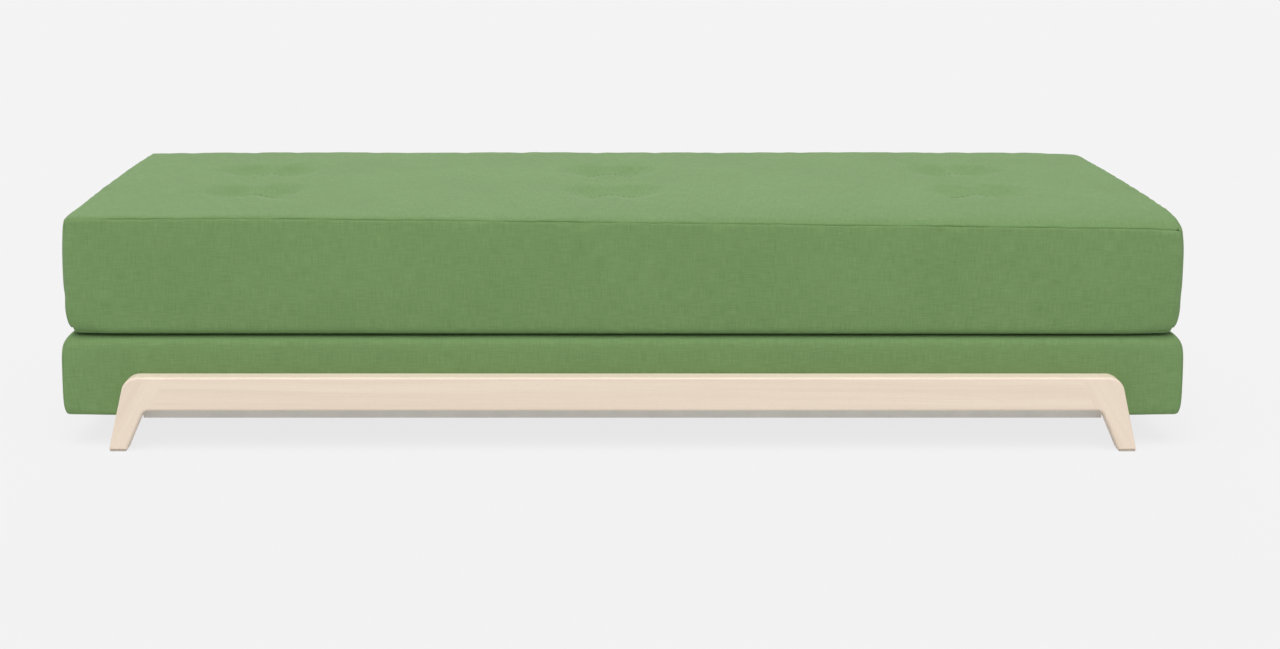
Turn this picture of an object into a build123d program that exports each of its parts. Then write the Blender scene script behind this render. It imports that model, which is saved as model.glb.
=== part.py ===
from build123d import *
import os

# Sofa bed: an upholstered base on two wooden arches, with a mattress that folds out.
# Millimetres. The origin is on the floor, under the middle of the base.
# X runs along the length, the front is at -Y and +Z is up.

os.makedirs("parts", exist_ok=True)

# Overall sizes
length = 2000
depth = 800
base_clearance = 57
base_height = 147
mattress_height = 203
crown = 8

# Wooden arches
arch_thickness = 30
arch_inset = 114
arch_corner_radius = 30
arch_edge_radius = 4
rail_rise = 18.5
rail_height = 61
leg_splay = 33
foot_width = 32
knee_inset = 32
knee_radius = 12
glide_height = 3
glide_inset = 2
dowel_radius = 5
dowel_length = 60
dowel_height_shares = (0.33, 0.67)

# Steel support angles under the base
angle_thickness = 2
angle_flange = 46
angle_upstand = 32
angle_screw_radius = 2.5
angle_screw_head_radius = 5
angle_screw_length = 30
angle_screw_shares = (-0.75, -0.25, 0.25, 0.75)

# Bolts that hold the arches to the base
bolt_radius = 4
bolt_head_radius = 7
bolt_head_height = 4.5
bolt_clearance = 0.5
bolt_reach = 18
washer_radius = 9
washer_thickness = 1.6
insert_radius = 6
insert_length = 20
insert_spare_depth = 2
bolt_shares = (-0.6, -0.2, 0.2, 0.6)
bolt_ledge_gap = 2

# Base frame and upholstery
cover_thickness = 3
side_foam = 12
board_thickness = 22
board_height = 90
slat_thickness = 8
slat_width = 68
slat_count = 17
slat_end_gap = 1
ledge_size = 22
beam_width = 45
block_size = 40
block_chamfer = 15
cross_rail_share = 0.33
hem_width = 52
dust_cover_thickness = 2
dust_cover_gap = 1
base_edge_radius = 16
base_corner_radius = 20
base_lower_radius = 5

# Mattress
lower_edge_radius = 18
mattress_corner_radius = 22
side_bulge = 5
side_draw = 6
side_wadding = 12
panel_wadding = 15
top_panel_thickness = 4
top_wadding = 11
comfort_thickness = 30
section_shares = (-1, -0.7, 0, 0.7, 1)
crown_shares = (0.3, 0.85, 1, 0.85, 0.3)
tuft_column_share = 0.345
tuft_row_share = 0.15
tuft_radius = 55
tuft_depth = 9
tuft_tie_radius = 1.5
tuft_disc_radius = 15
tuft_disc_thickness = 3

# Hinges between the base and the mattress
fold_gap = 10
hinge_rise = 6.5
hinge_share = 0.35
leaf_width = 60
leaf_thickness = 2.5
leaf_overlap = 45
leaf_gap = 0.5
upper_leaf_height = 58
knuckle_radius = 7
knuckle_width = 23
pin_radius = 4
pin_clearance = 0.05
pin_head_radius = 6
pin_head_thickness = 2
hinge_screw_radius = 2
hinge_screw_head_radius = 4
hinge_screw_length = 30
hinge_screw_spread = 18
hinge_screw_drop = 25
batten_thickness = 22
batten_height = 50
batten_share = 0.8

# Zip in the back of the mattress
zip_share = 0.75
zip_tape_height = 30
zip_tape_thickness = 1.5
zip_teeth_height = 6
zip_teeth_thickness = 2
zip_stop_length = 6
zip_stop_height = 8
slider_length = 14
slider_height = 12
slider_wall = 2.5
slider_clearance = 0.3
pull_length = 26
pull_width = 7
pull_thickness = 1.5

# One overrun for every cut that passes a face
overrun = 5

# Levels, from the floor up
rail_bottom = base_clearance + rail_rise
rail_top = rail_bottom + rail_height
base_top = base_clearance + base_height
frame_bottom = base_clearance + cover_thickness
frame_top = frame_bottom + board_height
slat_bottom = frame_top - slat_thickness
ledge_bottom = slat_bottom - ledge_size
seam_level = base_top + mattress_height
wadding_top = seam_level - top_panel_thickness
comfort_top = wadding_top - top_wadding
core_top = comfort_top - comfort_thickness
comfort_bottom = base_top + panel_wadding
core_bottom = comfort_bottom + comfort_thickness
angle_bottom = base_clearance - angle_thickness

# Places along the length
arch_half_span = length / 2 - arch_inset
foot_outer = arch_half_span + leg_splay
foot_inner = foot_outer - foot_width
knee = arch_half_span - knee_inset
joint_bottom = knee - knee_radius
joint_lean = (foot_inner - knee) / (rail_bottom - glide_height)
joint_top = joint_bottom - joint_lean * rail_height
angle_half = knee + knee_radius / 2
board_outer_x = length / 2 - cover_thickness - side_foam
board_inner_x = board_outer_x - board_thickness
hinge_places = (-hinge_share * length, 0, hinge_share * length)
zip_half = zip_share * length / 2

# Places across the depth
face_y = depth / 2
arch_middle_y = face_y + arch_thickness / 2
board_outer_y = face_y - cover_thickness - side_foam
board_inner_y = board_outer_y - board_thickness
hinge_y = face_y + (arch_thickness + fold_gap) / 2
hinge_z = base_top + hinge_rise

above = (Align.CENTER, Align.CENTER, Align.MIN)
behind = (Align.CENTER, Align.MAX, Align.MIN)
ahead = (Align.CENTER, Align.MIN, Align.MIN)
along_x = (0, 90, 0)
along_y = (90, 0, 0)


# Front arch: a rail and two splayed legs that meet it in sloping dowelled joints
bolt_level = ledge_bottom - washer_radius - bolt_ledge_gap
bolt_columns = [share * arch_half_span for share in bolt_shares]
dowel_places = []
for dowel_share in dowel_height_shares:
    dowel_rise = dowel_share * rail_height
    dowel_x = joint_bottom - joint_lean * dowel_rise
    dowel_places.append((dowel_x, -arch_middle_y, rail_bottom + dowel_rise))
    dowel_places.append((-dowel_x, -arch_middle_y, rail_bottom + dowel_rise))

with BuildPart() as front_rail:
    with BuildSketch(Plane.XZ.offset(face_y)):
        Polygon(
            (-joint_bottom, rail_bottom),
            (joint_bottom, rail_bottom),
            (joint_top, rail_top),
            (-joint_top, rail_top),
            align=None,
        )
    extrude(amount=arch_thickness)
    outer_edges = front_rail.faces().sort_by(Axis.Y)[0].edges().filter_by(Axis.X)
    fillet(outer_edges, arch_edge_radius)
    with Locations((0, -face_y, angle_bottom)):
        Box(2 * angle_half, angle_thickness, angle_upstand, align=behind, mode=Mode.SUBTRACT)
    with Locations(dowel_places):
        Cylinder(dowel_radius, dowel_length, rotation=along_x, mode=Mode.SUBTRACT)
    for bolt_x in bolt_columns:
        with Locations((bolt_x, -face_y, bolt_level)):
            Cylinder(
                insert_radius,
                2 * (insert_length + insert_spare_depth),
                rotation=along_y,
                mode=Mode.SUBTRACT,
            )
front_rail.part.label = "front_rail"
export_step(front_rail.part, "parts/front_rail.step")

with BuildPart() as front_leg_right:
    with BuildSketch(Plane.XZ.offset(face_y)) as leg_outline:
        Polygon(
            (joint_bottom, rail_bottom),
            (knee, rail_bottom),
            (foot_inner, glide_height),
            (foot_outer, glide_height),
            (arch_half_span, rail_top),
            (joint_top, rail_top),
            align=None,
        )
        top_corner = leg_outline.vertices().group_by(Axis.Y)[-1].sort_by(Axis.X)[-1]
        fillet(top_corner, arch_corner_radius)
        inner_corner = leg_outline.vertices().sort_by_distance((knee, rail_bottom))[0]
        fillet(inner_corner, knee_radius)
    extrude(amount=arch_thickness)
    outer_edges = front_leg_right.faces().sort_by(Axis.Y)[0].edges()
    joint_edge = outer_edges.sort_by(Axis.X)[0]
    fillet(outer_edges - [joint_edge], arch_edge_radius)
    with Locations((0, -face_y, angle_bottom)):
        Box(2 * angle_half, angle_thickness, angle_upstand, align=behind, mode=Mode.SUBTRACT)
    with Locations(dowel_places):
        Cylinder(dowel_radius, dowel_length, rotation=along_x, mode=Mode.SUBTRACT)
front_leg_right.part.label = "front_leg_right"
export_step(front_leg_right.part, "parts/front_leg_right.step")

with BuildPart() as front_leg_left:
    mirror(front_leg_right.part, about=Plane.YZ)
front_leg_left.part.label = "front_leg_left"
export_step(front_leg_left.part, "parts/front_leg_left.step")

# Rear arch: the same, with recesses for the lower hinge leaves
with BuildPart() as rear_rail:
    mirror(front_rail.part, about=Plane.XZ)
    for hinge_x in hinge_places:
        with Locations((hinge_x, face_y, rail_top - leaf_overlap - leaf_gap)):
            Box(
                leaf_width + 2 * leaf_gap,
                leaf_thickness,
                leaf_overlap + leaf_gap + overrun,
                align=ahead,
                mode=Mode.SUBTRACT,
            )
rear_rail.part.label = "rear_rail"
export_step(rear_rail.part, "parts/rear_rail.step")

with BuildPart() as rear_leg_right:
    mirror(front_leg_right.part, about=Plane.XZ)
rear_leg_right.part.label = "rear_leg_right"
export_step(rear_leg_right.part, "parts/rear_leg_right.step")

with BuildPart() as rear_leg_left:
    mirror(front_leg_left.part, about=Plane.XZ)
rear_leg_left.part.label = "rear_leg_left"
export_step(rear_leg_left.part, "parts/rear_leg_left.step")

with BuildPart() as rail_dowels:
    with Locations(dowel_places):
        Cylinder(dowel_radius, dowel_length, rotation=along_x)
    mirror(rail_dowels.part, about=Plane.XZ)
rail_dowels.part.label = "rail_dowels"
export_step(rail_dowels.part, "parts/rail_dowels.step")

glide_x = (foot_inner + foot_outer) / 2
with BuildPart() as foot_glides:
    with Locations(
        (glide_x, -arch_middle_y, 0),
        (-glide_x, -arch_middle_y, 0),
        (glide_x, arch_middle_y, 0),
        (-glide_x, arch_middle_y, 0),
    ):
        Box(foot_width - 2 * glide_inset, arch_thickness - 2 * glide_inset, glide_height, align=above)
foot_glides.part.label = "foot_glides"
export_step(foot_glides.part, "parts/foot_glides.step")


# Support angles, let into the backs of the arches, and the screws that fix them to the base
angle_screw_y = (board_outer_y + board_inner_y) / 2

with BuildPart() as front_support_angle:
    with BuildSketch(Plane.YZ.offset(-angle_half)):
        Polygon(
            (-face_y - angle_thickness, angle_bottom),
            (-face_y - angle_thickness + angle_flange, angle_bottom),
            (-face_y - angle_thickness + angle_flange, base_clearance),
            (-face_y, base_clearance),
            (-face_y, angle_bottom + angle_upstand),
            (-face_y - angle_thickness, angle_bottom + angle_upstand),
            align=None,
        )
    extrude(amount=2 * angle_half)
    for screw_share in angle_screw_shares:
        with Locations((screw_share * angle_half, -angle_screw_y, angle_bottom)):
            Cone(
                angle_screw_head_radius,
                angle_screw_radius,
                angle_thickness,
                align=above,
                mode=Mode.SUBTRACT,
            )
front_support_angle.part.label = "front_support_angle"
export_step(front_support_angle.part, "parts/front_support_angle.step")

with BuildPart() as rear_support_angle:
    mirror(front_support_angle.part, about=Plane.XZ)
rear_support_angle.part.label = "rear_support_angle"
export_step(rear_support_angle.part, "parts/rear_support_angle.step")

with BuildPart() as angle_screws:
    for screw_share in angle_screw_shares:
        for screw_y in (-angle_screw_y, angle_screw_y):
            with Locations((screw_share * angle_half, screw_y, angle_bottom)):
                Cone(angle_screw_head_radius, angle_screw_radius, angle_thickness, align=above)
                Cylinder(angle_screw_radius, angle_screw_length, align=above)
angle_screws.part.label = "angle_screws"
export_step(angle_screws.part, "parts/angle_screws.step")


# Arch bolts, with a washer inside the frame and a threaded insert in the rail
bolt_head_face = board_inner_y - washer_thickness
bolt_length = face_y + bolt_reach - bolt_head_face

with BuildPart() as arch_bolts:
    for bolt_x in bolt_columns:
        for side in (-1, 1):
            shank_y = side * (bolt_head_face + bolt_length / 2)
            head_y = side * (bolt_head_face - bolt_head_height / 2)
            with Locations((bolt_x, shank_y, bolt_level)):
                Cylinder(bolt_radius, bolt_length, rotation=along_y)
            with Locations((bolt_x, head_y, bolt_level)):
                Cylinder(bolt_head_radius, bolt_head_height, rotation=along_y)
arch_bolts.part.label = "arch_bolts"
export_step(arch_bolts.part, "parts/arch_bolts.step")

with BuildPart() as arch_washers:
    for bolt_x in bolt_columns:
        for side in (-1, 1):
            washer_y = side * (board_inner_y - washer_thickness / 2)
            with Locations((bolt_x, washer_y, bolt_level)):
                Cylinder(washer_radius, washer_thickness, rotation=along_y)
                Cylinder(bolt_radius, washer_thickness, rotation=along_y, mode=Mode.SUBTRACT)
arch_washers.part.label = "arch_washers"
export_step(arch_washers.part, "parts/arch_washers.step")

with BuildPart() as arch_inserts:
    for bolt_x in bolt_columns:
        for side in (-1, 1):
            insert_y = side * (face_y + insert_length / 2)
            with Locations((bolt_x, insert_y, bolt_level)):
                Cylinder(insert_radius, insert_length, rotation=along_y)
                Cylinder(bolt_radius, insert_length, rotation=along_y, mode=Mode.SUBTRACT)
arch_inserts.part.label = "arch_inserts"
export_step(arch_inserts.part, "parts/arch_inserts.step")


# Places of the hinge screws, which pass the leaves, the covers and the foam into wood
lower_screw_level = rail_top - hinge_screw_drop
upper_leaf_bottom = hinge_z + knuckle_radius - leaf_thickness
upper_leaf_top = upper_leaf_bottom + upper_leaf_height
upper_screw_level = upper_leaf_top - hinge_screw_drop
hinge_screw_columns = []
for hinge_x in hinge_places:
    hinge_screw_columns.append(hinge_x - hinge_screw_spread)
    hinge_screw_columns.append(hinge_x + hinge_screw_spread)
lower_screw_places = [(x, face_y + leaf_thickness, lower_screw_level) for x in hinge_screw_columns]
upper_screw_places = [(x, face_y + leaf_thickness, upper_screw_level) for x in hinge_screw_columns]
bolt_hole_places = [(x, 0, bolt_level) for x in bolt_columns]
angle_hole_places = []
for screw_share in angle_screw_shares:
    angle_hole_places.append((screw_share * angle_half, -angle_screw_y, angle_bottom))
    angle_hole_places.append((screw_share * angle_half, angle_screw_y, angle_bottom))


# Base frame: four boards, corner blocks, two cross rails, ledges, a centre beam and slats
board_gap_x = 2 * board_inner_x
board_gap_y = 2 * board_inner_y

with BuildPart() as front_board:
    with Locations((0, -board_outer_y, frame_bottom)):
        Box(2 * board_outer_x, board_thickness, board_height, align=ahead)
    with Locations(bolt_hole_places):
        Cylinder(bolt_radius + bolt_clearance, depth, rotation=along_y, mode=Mode.SUBTRACT)
    with Locations(angle_hole_places):
        Cylinder(angle_screw_radius, angle_screw_length, align=above, mode=Mode.SUBTRACT)
front_board.part.label = "front_board"
export_step(front_board.part, "parts/front_board.step")

with BuildPart() as rear_board:
    with Locations((0, board_outer_y, frame_bottom)):
        Box(2 * board_outer_x, board_thickness, board_height, align=behind)
    with Locations(bolt_hole_places):
        Cylinder(bolt_radius + bolt_clearance, depth, rotation=along_y, mode=Mode.SUBTRACT)
    with Locations(angle_hole_places):
        Cylinder(angle_screw_radius, angle_screw_length, align=above, mode=Mode.SUBTRACT)
    with Locations(lower_screw_places):
        Cylinder(hinge_screw_radius, 2 * hinge_screw_length, rotation=along_y, mode=Mode.SUBTRACT)
rear_board.part.label = "rear_board"
export_step(rear_board.part, "parts/rear_board.step")

for side, side_name in ((-1, "left"), (1, "right")):
    with BuildPart() as end_board:
        with Locations((side * (board_inner_x + board_thickness / 2), 0, frame_bottom)):
            Box(board_thickness, board_gap_y, board_height, align=above)
    end_board.part.label = side_name + "_end_board"
    export_step(end_board.part, "parts/" + side_name + "_end_board.step")

    with BuildPart() as cross_rail:
        with Locations((side * cross_rail_share * length, 0, frame_bottom)):
            Box(board_thickness, board_gap_y, ledge_bottom - frame_bottom, align=above)
    cross_rail.part.label = side_name + "_cross_rail"
    export_step(cross_rail.part, "parts/" + side_name + "_cross_rail.step")

with BuildPart() as corner_blocks:
    block_x = board_inner_x - block_size / 2
    block_y = board_inner_y - block_size / 2
    with Locations(
        (block_x, block_y, frame_bottom),
        (-block_x, block_y, frame_bottom),
        (block_x, -block_y, frame_bottom),
        (-block_x, -block_y, frame_bottom),
    ):
        Box(block_size, block_size, ledge_bottom - frame_bottom, align=above)
    inner_edges = []
    for block in corner_blocks.solids():
        uprights = block.edges().filter_by(Axis.Z)
        inner_edges.append(uprights.sort_by_distance((0, 0, frame_bottom))[0])
    chamfer(inner_edges, block_chamfer)
corner_blocks.part.label = "corner_blocks"
export_step(corner_blocks.part, "parts/corner_blocks.step")

with BuildPart() as slat_ledges:
    with Locations((0, -board_inner_y, ledge_bottom)):
        Box(board_gap_x, ledge_size, ledge_size, align=ahead)
    with Locations((0, board_inner_y, ledge_bottom)):
        Box(board_gap_x, ledge_size, ledge_size, align=behind)
slat_ledges.part.label = "slat_ledges"
export_step(slat_ledges.part, "parts/slat_ledges.step")

with BuildPart() as centre_beam:
    with Locations((0, 0, ledge_bottom)):
        Box(board_gap_x, beam_width, ledge_size, align=above)
centre_beam.part.label = "centre_beam"
export_step(centre_beam.part, "parts/centre_beam.step")

with BuildPart() as base_slats:
    slat_pitch = board_gap_x / slat_count
    for slat_number in range(slat_count):
        slat_x = (slat_number - (slat_count - 1) / 2) * slat_pitch
        with Locations((slat_x, 0, slat_bottom)):
            Box(slat_width, board_gap_y - 2 * slat_end_gap, slat_thickness, align=above)
base_slats.part.label = "base_slats"
export_step(base_slats.part, "parts/base_slats.step")


# Base upholstery: a foam pad on the slats, foam round the boards, the cover and the dust cover
with BuildPart() as base_foam_pad:
    with Locations((0, 0, frame_top)):
        Box(
            length - 2 * cover_thickness,
            depth - 2 * cover_thickness,
            base_top - cover_thickness - frame_top,
            align=above,
        )
    fillet(base_foam_pad.edges().filter_by(Axis.Z), base_corner_radius - cover_thickness)
    fillet(base_foam_pad.faces().sort_by(Axis.Z)[-1].edges(), base_edge_radius - cover_thickness)
base_foam_pad.part.label = "base_foam_pad"
export_step(base_foam_pad.part, "parts/base_foam_pad.step")

with BuildPart() as base_side_foam:
    with Locations((0, 0, frame_bottom)):
        Box(
            length - 2 * cover_thickness,
            depth - 2 * cover_thickness,
            board_height,
            align=above,
        )
    fillet(base_side_foam.edges().filter_by(Axis.Z), base_corner_radius - cover_thickness)
    with Locations((0, 0, frame_bottom)):
        Box(2 * board_outer_x, 2 * board_outer_y, board_height, align=above, mode=Mode.SUBTRACT)
    with Locations(bolt_hole_places):
        Cylinder(bolt_radius + bolt_clearance, depth, rotation=along_y, mode=Mode.SUBTRACT)
    with Locations(lower_screw_places):
        Cylinder(hinge_screw_radius, 2 * hinge_screw_length, rotation=along_y, mode=Mode.SUBTRACT)
base_side_foam.part.label = "base_side_foam"
export_step(base_side_foam.part, "parts/base_side_foam.step")

with BuildPart() as base_cover:
    with Locations((0, 0, base_clearance)):
        Box(length, depth, base_height, align=above)
    fillet(base_cover.edges().filter_by(Axis.Z), base_corner_radius)
    fillet(base_cover.faces().sort_by(Axis.Z)[-1].edges(), base_edge_radius)
    fillet(base_cover.faces().sort_by(Axis.Z)[0].edges(), base_lower_radius)
    add(base_foam_pad.part, mode=Mode.SUBTRACT)
    with BuildSketch(Plane.XY.offset(frame_bottom)):
        RectangleRounded(
            length - 2 * cover_thickness,
            depth - 2 * cover_thickness,
            base_corner_radius - cover_thickness,
        )
    extrude(amount=board_height, mode=Mode.SUBTRACT)
    with Locations((0, 0, base_clearance - overrun)):
        Box(
            length - 2 * hem_width,
            depth - 2 * hem_width,
            board_height,
            align=above,
            mode=Mode.SUBTRACT,
        )
    with Locations(bolt_hole_places):
        Cylinder(bolt_radius + bolt_clearance, 2 * depth, rotation=along_y, mode=Mode.SUBTRACT)
    with Locations(lower_screw_places):
        Cylinder(hinge_screw_radius, 2 * hinge_screw_length, rotation=along_y, mode=Mode.SUBTRACT)
    with Locations(angle_hole_places):
        Cylinder(angle_screw_radius, angle_screw_length, align=above, mode=Mode.SUBTRACT)
base_cover.part.label = "base_cover"
export_step(base_cover.part, "parts/base_cover.step")

dust_cover_inset = angle_flange - angle_thickness + dust_cover_gap

with BuildPart() as dust_cover:
    with Locations((0, 0, base_clearance - dust_cover_thickness)):
        Box(
            length - 2 * dust_cover_inset,
            depth - 2 * dust_cover_inset,
            dust_cover_thickness,
            align=above,
        )
dust_cover.part.label = "dust_cover"
export_step(dust_cover.part, "parts/dust_cover.step")


# Mattress form: lofted sections with a crown, then its drawn-in outline and bulged ends
seam_half = face_y - side_bulge
lower_middle = base_top + lower_edge_radius
side_middle = (lower_middle + seam_level) / 2
round_share = 0.7071

with BuildPart() as mattress_form:
    for place_share, crown_share in zip(section_shares, crown_shares):
        front_y = seam_half - side_draw * (1 - place_share * place_share)
        with BuildSketch(Plane.YZ.offset(place_share * length / 2)):
            with BuildLine():
                Line((lower_edge_radius - front_y, base_top), (face_y - lower_edge_radius, base_top))
                ThreePointArc(
                    (face_y - lower_edge_radius, base_top),
                    (
                        face_y - lower_edge_radius * (1 - round_share),
                        base_top + lower_edge_radius * (1 - round_share),
                    ),
                    (face_y, lower_middle),
                )
                Line((face_y, lower_middle), (face_y, seam_level))
                ThreePointArc(
                    (face_y, seam_level),
                    ((face_y - front_y) / 2, seam_level + crown * crown_share),
                    (-front_y, seam_level),
                )
                ThreePointArc(
                    (-front_y, seam_level),
                    (-front_y - side_bulge, side_middle),
                    (-front_y, lower_middle),
                )
                ThreePointArc(
                    (-front_y, lower_middle),
                    (
                        lower_edge_radius * (1 - round_share) - front_y,
                        base_top + lower_edge_radius * (1 - round_share),
                    ),
                    (lower_edge_radius - front_y, base_top),
                )
            make_face()
    loft()
    with BuildSketch(Plane.XY.offset(base_top - overrun)) as plan_outline:
        with BuildLine():
            Line((-length / 2, -face_y), (length / 2, -face_y))
            ThreePointArc((length / 2, -face_y), (length / 2 - side_draw, 0), (length / 2, face_y))
            Line((length / 2, face_y), (-length / 2, face_y))
            ThreePointArc((-length / 2, face_y), (side_draw - length / 2, 0), (-length / 2, -face_y))
        make_face()
        fillet(plan_outline.vertices(), mattress_corner_radius)
    extrude(amount=mattress_height + 2 * crown + 2 * overrun, mode=Mode.INTERSECT)
    end_half = length / 2 - side_bulge
    with BuildSketch(Plane.XZ.offset(-depth)):
        with BuildLine():
            Line((-end_half + lower_edge_radius, base_top), (end_half - lower_edge_radius, base_top))
            ThreePointArc(
                (end_half - lower_edge_radius, base_top),
                (
                    end_half - lower_edge_radius * (1 - round_share),
                    base_top + lower_edge_radius * (1 - round_share),
                ),
                (end_half, lower_middle),
            )
            ThreePointArc(
                (end_half, lower_middle),
                (end_half + side_bulge, side_middle),
                (end_half, seam_level),
            )
            Line((end_half, seam_level), (end_half, seam_level + 2 * crown))
            Line((end_half, seam_level + 2 * crown), (-end_half, seam_level + 2 * crown))
            Line((-end_half, seam_level + 2 * crown), (-end_half, seam_level))
            ThreePointArc(
                (-end_half, seam_level),
                (-end_half - side_bulge, side_middle),
                (-end_half, lower_middle),
            )
            ThreePointArc(
                (-end_half, lower_middle),
                (
                    lower_edge_radius * (1 - round_share) - end_half,
                    base_top + lower_edge_radius * (1 - round_share),
                ),
                (lower_edge_radius - end_half, base_top),
            )
        make_face()
    extrude(amount=2 * depth, mode=Mode.INTERSECT)
    tuft_ball_radius = (tuft_radius * tuft_radius + tuft_depth * tuft_depth) / (2 * tuft_depth)
    tuft_places = []
    for column, column_crown_share in zip((-1, 0, 1), crown_shares[1:4]):
        tuft_crown = crown * column_crown_share * (1 - 4 * tuft_row_share * tuft_row_share)
        ball_level = seam_level + tuft_crown - tuft_depth + tuft_ball_radius
        for row in (-1, 1):
            tuft_x = column * tuft_column_share * length
            tuft_y = row * tuft_row_share * depth
            tuft_places.append((tuft_x, tuft_y))
            with Locations((tuft_x, tuft_y, ball_level)):
                Sphere(tuft_ball_radius, mode=Mode.SUBTRACT)

# Space inside the wadding for the core and the comfort layers
fill_front = seam_half - side_draw - side_wadding
fill_rear = face_y - side_wadding
fill_half = end_half - side_draw - side_wadding

with BuildPart() as mattress_fill_space:
    with Locations((0, (fill_rear - fill_front) / 2, comfort_bottom)):
        Box(2 * fill_half, fill_front + fill_rear, wadding_top - comfort_bottom, align=above)

with BuildPart() as mattress_top_panel:
    add(mattress_form.part)
    split(bisect_by=Plane.XY.offset(wadding_top), keep=Keep.TOP)
mattress_top_panel.part.label = "mattress_top_panel"
export_step(mattress_top_panel.part, "parts/mattress_top_panel.step")

with BuildPart() as mattress_bottom_panel:
    add(mattress_form.part)
    split(bisect_by=Plane.XY.offset(comfort_bottom), keep=Keep.BOTTOM)
mattress_bottom_panel.part.label = "mattress_bottom_panel"
export_step(mattress_bottom_panel.part, "parts/mattress_bottom_panel.step")

with BuildPart() as mattress_boxing:
    add(mattress_form.part)
    split(bisect_by=Plane.XY.offset(wadding_top), keep=Keep.BOTTOM)
    split(bisect_by=Plane.XY.offset(comfort_bottom), keep=Keep.TOP)
    add(mattress_fill_space.part, mode=Mode.SUBTRACT)
    with Locations(upper_screw_places):
        Cylinder(hinge_screw_radius, 2 * hinge_screw_length, rotation=along_y, mode=Mode.SUBTRACT)
mattress_boxing.part.label = "mattress_boxing"
export_step(mattress_boxing.part, "parts/mattress_boxing.step")


# Mattress filling: the tufts' ties run down through it, between discs under the panels
batten_half = batten_share * length / 2

with BuildPart() as hinge_batten:
    with Locations((0, fill_rear, comfort_bottom)):
        Box(2 * batten_half, batten_thickness, batten_height, align=behind)
    with Locations(upper_screw_places):
        Cylinder(hinge_screw_radius, 2 * hinge_screw_length, rotation=along_y, mode=Mode.SUBTRACT)
hinge_batten.part.label = "hinge_batten"
export_step(hinge_batten.part, "parts/hinge_batten.step")

with BuildPart() as tuft_discs:
    for tuft_x, tuft_y in tuft_places:
        with Locations((tuft_x, tuft_y, comfort_bottom)):
            Cylinder(tuft_disc_radius, tuft_disc_thickness, align=above)
        with Locations((tuft_x, tuft_y, wadding_top - tuft_disc_thickness)):
            Cylinder(tuft_disc_radius, tuft_disc_thickness, align=above)
tuft_discs.part.label = "tuft_discs"
export_step(tuft_discs.part, "parts/tuft_discs.step")

with BuildPart() as tuft_ties:
    for tuft_x, tuft_y in tuft_places:
        with Locations((tuft_x, tuft_y, comfort_bottom + tuft_disc_thickness)):
            Cylinder(
                tuft_tie_radius,
                wadding_top - comfort_bottom - 2 * tuft_disc_thickness,
                align=above,
            )
tuft_ties.part.label = "tuft_ties"
export_step(tuft_ties.part, "parts/tuft_ties.step")

filling_layers = (
    ("lower_comfort_layer", comfort_bottom, core_bottom),
    ("mattress_core", core_bottom, core_top),
    ("upper_comfort_layer", core_top, comfort_top),
    ("upper_wadding", comfort_top, wadding_top),
)
for layer_name, layer_bottom, layer_top in filling_layers:
    with BuildPart() as filling_layer:
        with Locations((0, (fill_rear - fill_front) / 2, layer_bottom)):
            Box(2 * fill_half, fill_front + fill_rear, layer_top - layer_bottom, align=above)
        with Locations((0, fill_rear, comfort_bottom)):
            Box(2 * batten_half, batten_thickness, batten_height, align=behind, mode=Mode.SUBTRACT)
        add(tuft_discs.part, mode=Mode.SUBTRACT)
        add(tuft_ties.part, mode=Mode.SUBTRACT)
    filling_layer.part.label = layer_name
    export_step(filling_layer.part, "parts/" + layer_name + ".step")


# Hinges: lower leaves on the rear board, upper leaves on the batten, and a pin in each
upper_knuckle_width = (leaf_width - knuckle_width) / 2 - leaf_gap
upper_knuckle_offset = (leaf_width - upper_knuckle_width) / 2
lower_leaf_top = hinge_z - knuckle_radius + leaf_thickness
lower_leaf_bottom = rail_top - leaf_overlap

with BuildPart() as lower_hinge_leaves:
    for hinge_x in hinge_places:
        with Locations((hinge_x, face_y, lower_leaf_bottom)):
            Box(leaf_width, leaf_thickness, lower_leaf_top - lower_leaf_bottom, align=ahead)
        with Locations((hinge_x, face_y, lower_leaf_top - leaf_thickness)):
            Box(knuckle_width, hinge_y - face_y, leaf_thickness, align=ahead)
        with Locations((hinge_x, hinge_y, hinge_z)):
            Cylinder(knuckle_radius, knuckle_width, rotation=along_x)
            Cylinder(pin_radius, knuckle_width, rotation=along_x, mode=Mode.SUBTRACT)
    for screw_x, screw_y, screw_z in lower_screw_places:
        with Locations((screw_x, screw_y - leaf_thickness / 2, screw_z)):
            Cone(
                hinge_screw_head_radius,
                hinge_screw_radius,
                leaf_thickness,
                rotation=along_y,
                mode=Mode.SUBTRACT,
            )
lower_hinge_leaves.part.label = "lower_hinge_leaves"
export_step(lower_hinge_leaves.part, "parts/lower_hinge_leaves.step")

with BuildPart() as upper_hinge_leaves:
    for hinge_x in hinge_places:
        with Locations((hinge_x, face_y, upper_leaf_bottom)):
            Box(leaf_width, leaf_thickness, upper_leaf_height, align=ahead)
        for side in (-1, 1):
            knuckle_x = hinge_x + side * upper_knuckle_offset
            with Locations((knuckle_x, face_y, upper_leaf_bottom)):
                Box(upper_knuckle_width, hinge_y - face_y, leaf_thickness, align=ahead)
            with Locations((knuckle_x, hinge_y, hinge_z)):
                Cylinder(knuckle_radius, upper_knuckle_width, rotation=along_x)
                Cylinder(
                    pin_radius + pin_clearance,
                    upper_knuckle_width,
                    rotation=along_x,
                    mode=Mode.SUBTRACT,
                )
    for screw_x, screw_y, screw_z in upper_screw_places:
        with Locations((screw_x, screw_y - leaf_thickness / 2, screw_z)):
            Cone(
                hinge_screw_head_radius,
                hinge_screw_radius,
                leaf_thickness,
                rotation=along_y,
                mode=Mode.SUBTRACT,
            )
upper_hinge_leaves.part.label = "upper_hinge_leaves"
export_step(upper_hinge_leaves.part, "parts/upper_hinge_leaves.step")

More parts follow.
